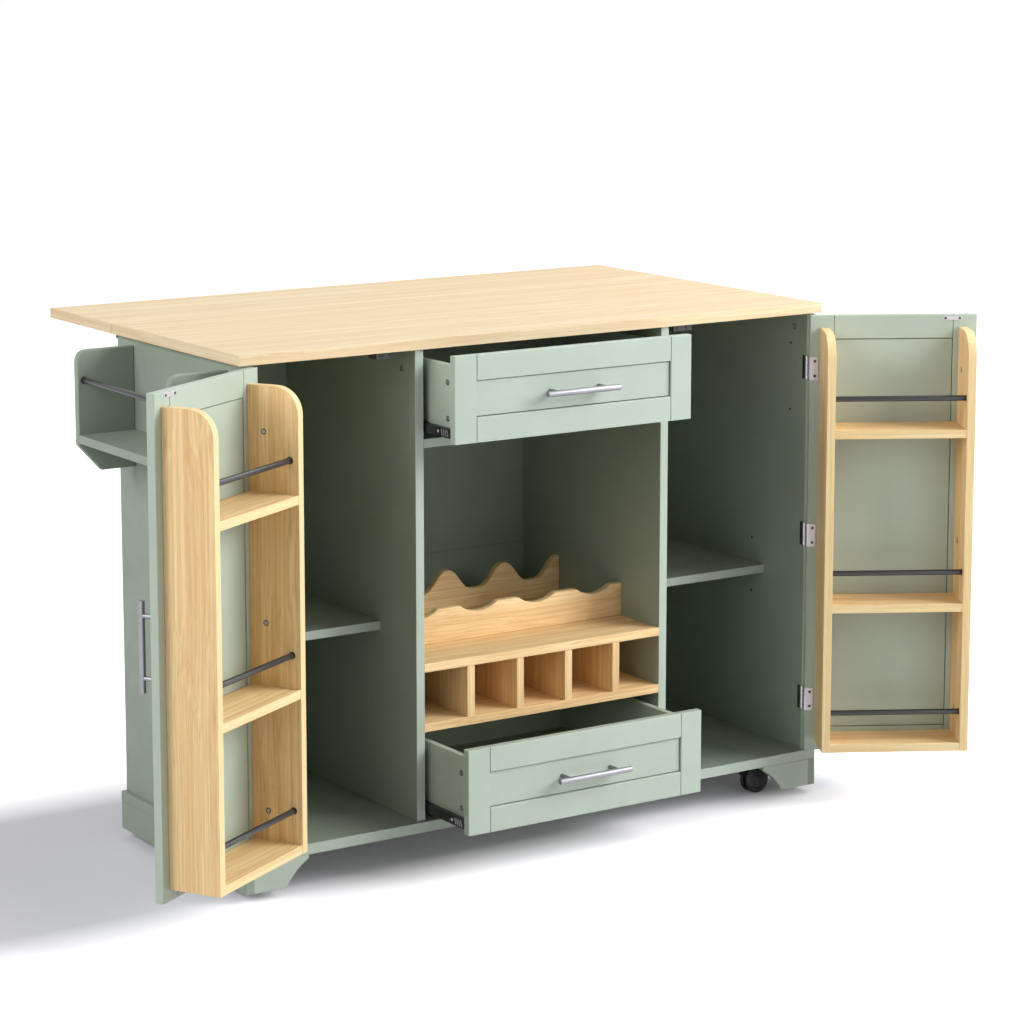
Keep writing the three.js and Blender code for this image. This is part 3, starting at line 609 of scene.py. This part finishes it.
# %% Bottle rests
BOTTLES = 4
low, high = node_box("bottle_rest_front")
pitch = span / BOTTLES
x = np.linspace(low[0], high[0], 161)


def neck_edge(x):
    """Circles of chord 76 mm and sagitta 13 mm cut into a level edge, one for each bottle."""
    crest, trough, level = 60.5, 47.5, 47.0
    off = abs((x - PART_IN) % pitch - pitch / 2)
    half = (pitch - level) / 2
    depth = crest - trough
    radius = (half ** 2 + depth ** 2) / (2 * depth)
    dip = trough + radius - np.sqrt(np.maximum(radius ** 2 - off ** 2, 0))
    return np.where(off < half, dip, crest)


def body_edge(x):
    """A wave with its crests at the walls: cos a + w cos 2a - r cos 3a, scaled between crest and
    trough, where w widens the troughs and r rounds both."""
    crest, trough, widen, rounding = 76.0, 36.5, 0.14, 0.06
    turn = 2 * np.pi * (x - PART_IN) / pitch
    wave = np.cos(turn) + widen * np.cos(2 * turn) - rounding * np.cos(3 * turn)
    return crest + (crest - trough) / 2 / (1 - rounding) * (wave - 1 - widen + rounding)


for name, edge in (("front", neck_edge), ("rear", body_edge)):
    low, high = node_box(f"bottle_rest_{name}")
    top = high[2] - edge(x).max() + edge(x)
    outline = np.concatenate([[(low[2], low[0])], np.stack([top, x], axis=1),
                              [(low[2], high[0])]])
    piece(f"bottle_rest_{name}_board", [(slab(outline, "y", low[1], high[1], 1.6, 3), OAK, "x")],
          "carcass", [f"bottle_rest_{name}"])
print("bottle pitch", round(pitch, 1), "mm")

# %% [markdown]
# ## Side rack
#
# Two ends with a rounded upper corner and a chamfered lower one, a shelf between them, and a black
# bar that keeps jars in and sits in a dark ring at each end, which is painted shade.

# %% Side rack
low, high = node_box("side_rack_end_front")
corner, cut_x, cut_z = 23.0, 42.6, 46.5
outline = np.concatenate([
    [(low[2], high[0]), (low[2], low[0] + cut_x), (low[2] + cut_z, low[0])],
    curve((high[2] - corner, low[0]), (high[2], low[0]), (high[2], low[0] + corner), 12),
    [(high[2], high[0])],
])
for end in ("front", "rear"):
    low, high = node_box(f"side_rack_end_{end}")
    piece(f"rack_end_{end}", [(slab(outline, "y", low[1], high[1], 2.4, 3), GREEN_PAINTED_SHADE, "z")],
          "carcass", [f"side_rack_end_{end}"])
board("rack_shelf", "side_rack_shelf", GREEN_PAINTED_SHADE, "y", "z")
ROD, SEAT, SEAT_IN, SEAT_THICK = 5.0, 6.4, 7.8, 1.2
low, high = node_box("side_rack_rod")
middle = (low + high) / 2
# The rings at the bar's ends are painted shade where it enters the ends.
seats = [bar("y", middle[2], middle[0], SEAT, at, at + SEAT_THICK, 0.4)
         for at in (low[1] + SEAT_IN, high[1] - SEAT_IN - SEAT_THICK)]
piece("rack_rod", [(bar("y", middle[2], middle[0], ROD, low[1], high[1]), STEEL, "y")]
      + [(seat, DARK_METAL_AND_SHADE, "y") for seat in seats], "carcass", ["side_rack_rod"])
print("rack bar", round(float(high[1] - low[1]), 1), "mm long")

# %% [markdown]
# ## Doors
#
# Each door is a frame of two stiles and two rails round a recessed panel. Between a rail and a
# stile, and round the panel, a joint less than a millimetre wide stays open, which the eye reads
# as a fine dark line. So the boards are drawn with that joint between them, and a tongue and a
# core board, painted dark as the shade in the joint, close it from behind. The door is drawn shut
# from its hinge pin: s runs along the door, t through it from its outer face, and z is the height.
# It is then turned 150 degrees about the pin, as the photo shows it.

# %% Door frames
OPEN = math.radians(150)
SIDE_IN = float(node_box("side_panel_left")[1][0])
GAP = 3.5
WIDTH = PART_OUT - SIDE_IN - 2 * GAP  # of a door, with its gap on either side
DOOR_LOW = float(node_box("door_left")[0][2])
DOOR_HIGH = float(node_box("door_left")[1][2])
DOOR_MID = (DOOR_LOW + DOOR_HIGH) / 2
STILE = 43.0
SUNK, DOOR_SUNK_BEHIND, DRAWER_SUNK_BEHIND = 4.5, 2.0, 0.3
JOINT, REVEAL = 0.8, 1.4
DEEP, LAP, SHORT = 3.2, 4.0, 1.2  # of tongues and core: below the face, behind a board, at its end


def left_door(points):
    """(s, t, z) turned by -150 degrees about the pin, then carried to the pin."""
    c, s = math.cos(-OPEN), math.sin(-OPEN)
    x = SIDE_IN + points[:, 0] * c - points[:, 1] * s
    y = FRONT + points[:, 0] * s + points[:, 1] * c
    return np.stack([x, y, points[:, 2]], axis=1), False


def right_door(points):
    """The left door's place mirrored."""
    placed, _ = left_door(points)
    return placed * (-1, 1, 1) + (LENGTH, 0, 0), True


DOORS = {"left": left_door, "right": right_door}


def framed(x0, x1, z0, z1, y0, y1, sunk_behind):
    """Stiles and rails a joint apart, a panel with a reveal round it sunk from both faces, and
    behind each gap a tongue or a core. The boards are the lighter sage, painted light; tongues
    and core are painted dark as the shade in a joint."""
    stiles = [brick((a, y0, z0), (a + STILE, y1, z1), "y", 1.0) for a in (x0, x1 - STILE)]
    rails = [brick((x0 + STILE + JOINT, y0, a), (x1 - STILE - JOINT, y1, a + STILE), "y", 1.0)
             for a in (z0, z1 - STILE)]
    tongues = [brick((a - LAP, y0 + DEEP, c + SHORT), (a + LAP, y1 - DEEP, c + STILE - SHORT),
                     "y", 0.2) for a in (x0 + STILE, x1 - STILE) for c in (z0, z1 - STILE)]
    front, back = y0 + SUNK, y1 - sunk_behind
    near, lap = STILE + REVEAL, STILE - LAP
    panel = brick((x0 + near, front, z0 + near), (x1 - near, back, z1 - near), "y", 0.4)
    core = brick((x0 + lap, front + DEEP, z0 + lap), (x1 - lap, back - DEEP, z1 - lap), "y", 0.2)
    return ([(s, GREEN_PAINTED_LIGHT, "z") for s in stiles] + [(s, GREEN_PAINTED_LIGHT, "x") for s in rails]
            + [(panel, GREEN_PAINTED_LIGHT, "z")] + [(s, JOINT_PAINTED_SHADE, "z") for s in tongues + [core]])


for side in SIDES:
    door = framed(GAP, GAP + WIDTH, DOOR_LOW, DOOR_HIGH, 0, BOARD, DOOR_SUNK_BEHIND)
    piece(f"door_frame_{side}", door, f"door_{side}", [f"door_{side}"], DOORS[side])
print("door", round(WIDTH, 1), "by", round(DOOR_HIGH - DOOR_LOW, 1), "mm")

# %% [markdown]
# The **spice racks** on the doors are oak: two boards with a rounded upper corner, three shelves,
# and a black bar over each, whose ends sit in dark rings of painted shade where the holes are.
# Their front edges carry a glued band of paler oak, which the eye reads as a light outline.

# %% Spice racks
SPICE = {"start": GAP + 18, "end": GAP + WIDTH - 18, "depth": 94.0, "low": DOOR_LOW + 19.5,
         "high": DOOR_HIGH - 22.5, "corner": 45.0}
ROD_OUT, ROD_UP, ROD_IN, RING = 77.5, 55.5, 6.0, 6.2
tall = SPICE["high"] - SPICE["low"]
SHELVES = [SPICE["low"] + BOARD, SPICE["low"] + tall * 0.3578, SPICE["low"] + tall * 0.7736]
t0, t1 = BOARD + 0.3, BOARD + SPICE["depth"]


def front_edge(inset):
    """Front and top of a side board, drawn in: a straight, a quarter circle about the same centre
    whatever the inset, and a straight."""
    a = np.linspace(0, np.pi / 2, 17)
    centre = np.array([t1, SPICE["high"]]) - SPICE["corner"]
    arc = centre + (SPICE["corner"] - inset) * np.stack([np.cos(a), np.sin(a)], axis=1)
    return np.concatenate([[(t1 - inset, SPICE["low"])], arc, [(t0, SPICE["high"] - inset)]])


side_outline = np.concatenate([[(t0, SPICE["low"])], front_edge(BAND)])
side_band = np.concatenate([front_edge(0), front_edge(BAND)[::-1]])


def spice_rack():
    """Two boards, three shelves between them, their front bands, and bars that end in boards."""
    shapes = []
    for s in (SPICE["start"], SPICE["end"] - BOARD):
        shapes += [(slab(side_outline, "x", s, s + BOARD, 0.3), OAK, "z"),
                   (slab(side_band, "x", s, s + BOARD, 0.35), EDGE_OAK, "z")]
    s0, s1 = SPICE["start"] + BOARD - 0.05, SPICE["end"] - BOARD + 0.05
    front = t1 - 0.6
    for z in SHELVES:
        rod = (BOARD + ROD_OUT, z + ROD_UP)
        shapes += [(brick((s0, t0, z - BOARD), (s1, front - BAND, z), "z", 0.3), OAK, "x"),
                   (brick((s0, front - BAND, z - BOARD), (s1, front, z), "y", 0.35), EDGE_OAK, "x"),
                   (bar("x", *rod, ROD, s0 - ROD_IN, s1 + ROD_IN), STEEL, "x")]
        # Dark rings where the bars enter the boards: painted shade of their holes.
        shapes += [(bar("x", *rod, RING, s - 0.3, s + 0.3, 0.1), DARK_DISC_SHADE, "x") for s in (s0, s1)]
    return shapes


for side in SIDES:
    piece(f"spice_boards_{side}", spice_rack(), f"door_{side}", [f"spice_rack_{side}"], DOORS[side])
print("shelves at", np.round(SHELVES, 1))

# %% [markdown]
# ## Handles
#
# A bar on two posts 100 mm apart. The posts are set into the bar, and the bar's ends are lightly
# eased.

# %% Handles
STAND_OFF, HALF_BAR, HALF_POSTS, BAR_RADIUS, POST_RADIUS = 29, 74, 50, 5.2, 4.0
DOOR_HANDLE_IN = 20.3  # from the door's free edge to the bar's middle


def handle(axis, x, z, face):
    """A bar along x or z, whose middle is at x and z, and two posts from the face to the bar."""
    out, upright = face - STAND_OFF, axis == "z"
    centre, middle = ((x, out), z) if upright else ((out, z), x)
    rail = bar(axis, *centre, BAR_RADIUS, middle - HALF_BAR, middle + HALF_BAR)
    feet = [(z + d, x) if upright else (z, x + d) for d in (-HALF_POSTS, HALF_POSTS)]
    posts = [bar("y", *at, POST_RADIUS, out, face, 0.3) for at in feet]
    return [(rail, NICKEL, axis)] + [(post, NICKEL, "y") for post in posts]


for side in SIDES:
    rail = handle("z", GAP + WIDTH - DOOR_HANDLE_IN, DOOR_MID, 0)
    piece(f"door_bar_{side}", rail, f"door_{side}", [f"door_handle_{side}"], DOORS[side])
print("handle", 2 * HALF_BAR, "mm long, posts", 2 * HALF_POSTS, "mm apart")

# %% [markdown]
# ## Drawers
#
# A drawer is a framed front on a box of 12 mm board with a thin floor, hung on black slides. The
# box is drawn in the front's lighter sage, which is painted light, with two cam heads in each side
# behind the front. The slide's inner member shows beside the foot of the box, with a screw and a
# row of leaning slots where it is fixed to the box.

# %% Drawers
WALL, IN_GROOVE = 12, 11  # thickness of the box, and where its floor ends in it
BOX_HIGH, BOX_DEEP, BOX_DOWN, BESIDE = 124.5, 400, 18, 12.7
FLOOR_LOW, FLOOR_HIGH = 19, 24
RUNNER = PART_IN + 3.5
LEANING = np.array([(0, -5.5), (2.2, -5.5), (5.2, 5.5), (3.0, 5.5)])
SLOTS_AT, SCREW_AT, CAMS_AT, CAMS_DOWN = (6, 12, 18, 24), 38, 21.5, (30, 91)


def drawer(name):
    """The front, handle and box of a drawer, each drawn where its node is."""
    body = f"drawer_{name}"
    low, high = node_box(f"drawer_front_{name}")
    front = framed(low[0], high[0], low[2], high[2], low[1], high[1], DRAWER_SUNK_BEHIND)
    piece(f"drawer_face_{name}", front, body, [f"drawer_front_{name}"])
    rail = handle("x", LENGTH / 2, (low[2] + high[2]) / 2, low[1] + SUNK)
    piece(f"drawer_bar_{name}", rail, body, [f"drawer_handle_{name}"])
    x0, x1 = PART_IN + BESIDE, LENGTH - PART_IN - BESIDE
    y0, top = high[1] + 0.3, high[2] - BOX_DOWN
    y1, z0 = y0 + BOX_DEEP, top - BOX_HIGH
    # Walls in the fronts' lighter sage, painted light; the floor in the carcass's deeper sage,
    # painted shade.
    tray = [(brick((x0, y0, z0), (x0 + WALL, y1, top), "x"), GREEN_PAINTED_LIGHT, "y"),
            (brick((x1 - WALL, y0, z0), (x1, y1, top), "x"), GREEN_PAINTED_LIGHT, "y"),
            (brick((x0 + WALL, y0, z0), (x1 - WALL, y0 + WALL, top), "y"), GREEN_PAINTED_LIGHT, "x"),
            (brick((x0 + WALL, y1 - WALL, z0), (x1 - WALL, y1, top), "y"), GREEN_PAINTED_LIGHT, "x"),
            (brick((x0 + IN_GROOVE, y0 + IN_GROOVE, z0 + FLOOR_LOW),
                   (x1 - IN_GROOVE, y1 - IN_GROOVE, z0 + FLOOR_HIGH), "z", 0.3), GREEN_PAINTED_SHADE, "y")]
    runner = brick((RUNNER, y0 + 2.2, z0 + 3), (x0 + 0.1, y1, z0 + SLIDE - 3), "y", 0.6)
    fitted = [(runner, STEEL, "y")]
    for down in CAMS_DOWN:
        fitted += cam("x", y0 + CAMS_AT, top - down, x0, -1)
    for at in SLOTS_AT:
        slot = slab(LEANING + (y0 + at, z0 + SLIDE / 2), "x", RUNNER - 0.4, RUNNER + 0.4, 0.3)
        fitted.append((slot, ZINC, "y"))
    fitted.append((screw("x", y0 + SCREW_AT, z0 + SLIDE / 2, RUNNER, -1, 3.0), ZINC, "y"))
    piece(f"drawer_tray_{name}", tray + fitted + on_side(fitted, "right"), body,
          [f"drawer_box_{name}"])
    return y0, top - z0


for name in ("upper", "lower"):
    box_front, height = drawer(name)
    print(name, "drawer box from y", round(box_front, 1), "height", round(height, 1), "mm")

# %% [markdown]
# ## Hinges, casters and brackets
#
# The door hinges are butt hinges: a barrel of five knuckles round a pin, one leaf screwed inside
# the side panel and one inside the door. The casters are twin wheels in a hood. Brackets and leaf
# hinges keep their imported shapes, which are bent strip, and only take their finish.

# %% Door hinges


def knuckles(u, v, low, high):
    """Five short rounded cylinders in a row, with 0.4 mm between them, and a pin through all."""
    count, half_gap = 5, 0.2
    step = (high - low) / count
    rows = [bar("z", u, v, 3.2, low + i * step + half_gap, low + (i + 1) * step - half_gap, 0.3, 24)
            for i in range(count)]
    pin = bar("z", u, v, 1.6, low + 0.1, high - 0.1, 0.3, 16)
    return [(shape, ZINC, "z") for shape in rows + [pin]]


def plate_outline(z0, z1, s0, s1, radius=4.0):
    """A plate whose two corners away from the pin are rounded."""
    return np.concatenate([[(z0, s0), (z1, s0)],
                           curve((z1, s1 - radius), (z1, s1), (z1 - radius, s1)),
                           curve((z0 + radius, s1), (z0, s1), (z0, s1 - radius))])


SCREW, SCREW_IN = 2.6, 8
PLATE_LOW, PLATE_HIGH = GAP - 0.9, GAP + 15
for side in SIDES:
    for level in (1, 2, 3):
        node = f"door_hinge_{level}_{side}"
        z0, z1 = (corner_[2] for corner_ in node_box(node))
        screws = (z0 + SCREW_IN, z1 - SCREW_IN)
        # The leaf on the side panel is drawn in black steel: painted shade, for a zinc leaf in the
        # bay's shade.
        leaf = brick((SIDE_IN + 0.3, FRONT + 1, z0), (SIDE_IN + 1.3, FRONT + 11, z1), "x", 0.3)
        shapes = knuckles(SIDE_IN, FRONT, z0, z1) + [(leaf, STEEL, "z")]
        shapes += [(screw("x", FRONT + 7, z, SIDE_IN + 1.25, 1, SCREW), STEEL, "z") for z in screws]
        piece(f"hinge_leaf_{level}_{side}", on_side(shapes, side), "carcass", [node])
        flange = brick((PLATE_LOW, 0.8, z0), (GAP + 0.1, BOARD + 0.9, z1), "x", 0.3)
        plate = slab(plate_outline(z0, z1, PLATE_LOW, PLATE_HIGH), "y", BOARD, BOARD + 1, 0.3)
        shapes = [(flange, ZINC, "z"), (plate, ZINC, "z")]
        # The plate's screws are dark: painted shade of their holes.
        shapes += [(screw("y", z, GAP + 9, BOARD + 1, 1, SCREW), DARK_METAL_AND_SHADE, "z") for z in screws]
        piece(f"hinge_door_plate_{level}_{side}", shapes, f"door_{side}", (), DOORS[side])
print("hinge", round(float(z1 - z0), 1), "mm high")

# %% Casters


def wheel_profile(radius, low, high):
    """A disc with a rounded tread, from pole to pole. Its two faces are dished: each point of the
    dish is a share of the radius and a depth below the face."""
    dish = np.array([(0, 1.2), (0.3, 1.2), (0.36, 2.0), (0.62, 2.0), (0.7, 0)])
    tread = rounded(radius, low, high, 3.0, 6)[1:-1]
    return np.concatenate([dish * (radius, 1) + (0, low), tread,
                           (dish * (radius, -1) + (0, high))[::-1]])


HALF_GAP = 4.0
for corner_ in ("front_left", "front_right", "rear_left", "rear_right"):
    low, high = node_box(f"caster_wheel_{corner_}")
    middle = (low + high) / 2
    _, half_wide, radius = (high - low) / 2
    discs = [turned(wheel_profile(radius, start, end), "y", middle, 48)
             for start, end in ((-half_wide, -HALF_GAP), (HALF_GAP, half_wide))]
    axle = turned(rounded(3.0, 0.4 - half_wide, half_wide - 0.4, 0.5), "y", middle, 24)
    piece(f"twin_wheel_{corner_}", [(d, PLASTIC, "x") for d in discs] + [(axle, GREY, "y")],
          f"wheel_{corner_}", [f"caster_wheel_{corner_}"])
    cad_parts[f"caster_fork_{corner_}"].data.materials[0] = PLASTIC
print("wheel", round(2 * radius, 1), "mm across")

# %% Brackets, leaf hinges and catches
for side in SIDES:
    for name in ("bracket_leg", "bracket_arm", "bracket_strap", "leaf_hinge"):
        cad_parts[f"{name}_{side}"].data.materials[0] = STEEL
    low, high = node_box(f"magnet_catch_{side}")
    shapes = [(brick((low[0], low[1] + 1.5, low[2]), high, "y", 1.2), GREY, "x")]
    for x in (low[0] + 10, high[0] - 10):
        pole = bar("y", (low[2] + high[2]) / 2, x, 5.0, low[1], low[1] + 3, 0.6)
        shapes.append((pole, DARK_METAL_AND_SHADE, "y"))
    piece(f"catch_{side}", shapes, "carcass", [f"magnet_catch_{side}"])
print(len(made), "pieces")

# %% [markdown]
# ## Small hardware
#
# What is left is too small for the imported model: the strike plates that the catches pull on, the
# cam heads in the racks and side panels, and the holes for the shelf pins.

# %% Strikes, cams and pin holes


def pin_hole(y, z):
    """A shelf pin's hole: a disc of painted shade 5 mm across, 0.15 mm proud so that it shows."""
    return bar("x", y, z, 2.5, SIDE_IN - 2, SIDE_IN + 0.15, 0.1, 20)


def strip(u0, u1, v, width):
    """A strip along u with half round ends: the outline is two half circles joined by lines."""
    a = np.linspace(-np.pi / 2, np.pi / 2, 9)
    r = width / 2
    right = np.stack([u1 - r + r * np.cos(a), v + r * np.sin(a)], axis=1)
    left = np.stack([u0 + r - r * np.cos(a), v - r * np.sin(a)], axis=1)
    return np.concatenate([right, left])


STRIKE, STRIKE_LONG, STRIKE_WIDE, STRIKE_Z = GAP + WIDTH - 62.8, 36, 8, DOOR_HIGH - 6.5
STRIKE_SCREWS, PLATE = (5, 31), BOARD + 0.7
SPICE_CAMS_OUT, SPICE_CAMS = BOARD + 29.5, (799, 484.7, 170.3)
PANEL_CAMS = ((45.4, 871, SIDE_IN, 1), (52, 862, PART_OUT, -1))
PIN_HOLES = ((55.3, 839.5), (55.3, 716.5), (163.6, 457.8), (163.6, 356.8))
for side in SIDES:
    outline = strip(STRIKE, STRIKE + STRIKE_LONG, STRIKE_Z, STRIKE_WIDE)[:, ::-1]
    plate = [(slab(outline, "y", BOARD, PLATE, 0.3), ZINC, "x")]
    # Its screws are dark: painted shade of their holes.
    plate += [(screw("y", STRIKE_Z, STRIKE + d, PLATE - 0.05, 1, 2.4), DARK_METAL_AND_SHADE, "x")
              for d in STRIKE_SCREWS]
    piece(f"strike_{side}", plate, f"door_{side}", (), DOORS[side])
    faces = ((SPICE["start"] + BOARD, 1), (SPICE["end"] - BOARD, -1))
    heads = [part for z in SPICE_CAMS for s, out in faces
             for part in cam("x", SPICE_CAMS_OUT, z, s, out)]
    piece(f"spice_cams_{side}", heads, f"door_{side}", (), DOORS[side])
    spots = [part for spot in PANEL_CAMS for part in cam("x", *spot)]
    spots += [(pin_hole(y, z), DARK_DISC_SHADE, "x") for y, z in PIN_HOLES]
    piece(f"panel_cams_{side}", on_side(spots, side), "carcass")
print("strikes and cams done")

# %% [markdown]
# ## Floor, light and camera
#
# The island stands on a pale floor under soft studio light. Large lamps at the right and the left
# light it from the sides, and weak ones from the front and behind, which leaves the deep bays dark
# and the fronts and the worktop light. The floor keeps the island's shadow. Away from the island
# it is white to the camera and to mirror rays, by light that it gives off to them alone, so
# nothing on the island gets more light.

# %% Floor and world


def seen_directly(tree):
    """1 for rays from the camera, off a gloss or through glass, and 0 for the rest."""
    path = add(tree, "ShaderNodeLightPath")
    seen = path.outputs["Is Camera Ray"]
    for kind in ("Is Glossy Ray", "Is Transmission Ray"):
        either = add(tree, "ShaderNodeMath", {"operation": "MAXIMUM"},
                     {0: seen, 1: path.outputs[kind]})
        seen = either.outputs[0]
    return seen


SHADOW_MIDDLE, SHADOW_HALF = (-0.34, 0.11, 0), (0.96, 0.29, 0)


def studio_floor():
    """A matt floor. Its added white is 0.06 in a rectangle that holds the island and its shadow,
    and grows to 1 in a quarter of a metre outside it. The distance from the rectangle is the
    length of max(|p - middle| - half, 0)."""
    material, tree, shader = finish("studio_floor", Roughness=0.9)
    place = add(tree, "ShaderNodeTexCoord").outputs["Object"]
    seen = seen_directly(tree)
    tone = blend_colours(tree, noise(tree, place, 0.6), linear("dddce4"), linear("d9d8e0"))
    for_light = linear("b8b8b8")
    tree.links.new(blend_colours(tree, seen, for_light, tone), shader.inputs["Base Color"])
    away = place
    for operation, other in (("SUBTRACT", SHADOW_MIDDLE), ("ABSOLUTE", None),
                             ("SUBTRACT", SHADOW_HALF), ("MAXIMUM", (0, 0, 0)), ("LENGTH", None)):
        inputs = {0: away} if other is None else {0: away, 1: other}
        step = add(tree, "ShaderNodeVectorMath", {"operation": operation}, inputs)
        away = step.outputs["Value" if operation == "LENGTH" else "Vector"]
    lift = add(tree, "ShaderNodeMath", {"operation": "MULTIPLY"},
               {0: seen, 1: remap(tree, away, 0.0, 0.25, 0.06, 1.0)})
    glow = add(tree, "ShaderNodeEmission", None, {"Strength": lift.outputs[0]})
    both = add(tree, "ShaderNodeAddShader", None, {0: shader.outputs[0], 1: glow.outputs[0]})
    out = next(n for n in tree.nodes if n.type == "OUTPUT_MATERIAL")
    tree.links.new(both.outputs[0], out.inputs["Surface"])
    return material


half = 30.0
mesh = bpy.data.meshes.new("floor")
mesh.from_pydata([(-half, -half, 0), (half, -half, 0), (half, half, 0), (-half, half, 0)], [],
                 [(0, 1, 2, 3)])
mesh.materials.append(studio_floor())
floor = bpy.data.objects.new("floor", mesh)
bpy.context.scene.collection.objects.link(floor)

world = bpy.data.worlds.new("studio")
bpy.context.scene.world = world
world.use_nodes = True
tree = world.node_tree
tree.nodes.clear()
AMBIENT = 0.05
strength = add(tree, "ShaderNodeMapRange", None, {0: seen_directly(tree), 3: AMBIENT, 4: 1.0})
sky = add(tree, "ShaderNodeBackground", None,
          {"Color": linear("ffffff"), "Strength": strength.outputs[0]})
add(tree, "ShaderNodeOutputWorld", None, {"Surface": sky.outputs[0]})
print("ambient", AMBIENT)

# %% Lamps
SIZE, AWAY, AIM = 2.5, 5.0, 0.5


def softbox(name, azimuth, elevation, power):
    """A square area lamp that looks at the island's middle, half a metre up. Its place is
    5 m·(cos e sin a, -cos e cos a, sin e) from there, where the azimuth a counts to the right
    from the front."""
    lamp = bpy.data.lights.new(name, "AREA")
    lamp.shape, lamp.size, lamp.energy = "SQUARE", SIZE, power
    a, e = math.radians(azimuth), math.radians(elevation)
    thing = bpy.data.objects.new(name, lamp)
    along = AWAY * math.cos(e)
    thing.location = (along * math.sin(a), -along * math.cos(a), AIM + AWAY * math.sin(e))
    thing.rotation_euler = (math.pi / 2 - e, 0, a)
    bpy.context.scene.collection.objects.link(thing)


softbox("key_front_right", 45, 30, 228)
softbox("high_right", 90, 45, 90)
softbox("low_right", 60, 15, 55)
softbox("low_front", 10, 20, 42)
softbox("left", -90, 30, 133)
softbox("low_left", -60, 20, 38)
softbox("behind", 180, 50, 28)

# %% [markdown]
# The **camera** stands to the left of the front, well above the worktop, and looks down by nine
# degrees. Its frame is shifted down by a tenth of its height, so it need not tilt any further,
# which keeps the uprights nearly parallel, as in the photo.

# %% Camera
camera_data = bpy.data.cameras.new("camera")
camera = bpy.data.objects.new("camera", camera_data)
camera.location = (-2.96734, -4.61965, 1.64845)
camera.rotation_euler = (math.radians(90 - 9.373), 0, math.radians(-33.38))
camera_data.sensor_fit = "VERTICAL"
camera_data.sensor_height = 36.0
camera_data.lens = 109.79
camera_data.shift_y = -0.1
camera_data.clip_end = 200.0
bpy.context.scene.collection.objects.link(camera)
bpy.context.scene.camera = camera
bpy.context.scene.view_settings.view_transform = "Standard"
print("camera at", tuple(camera.location))
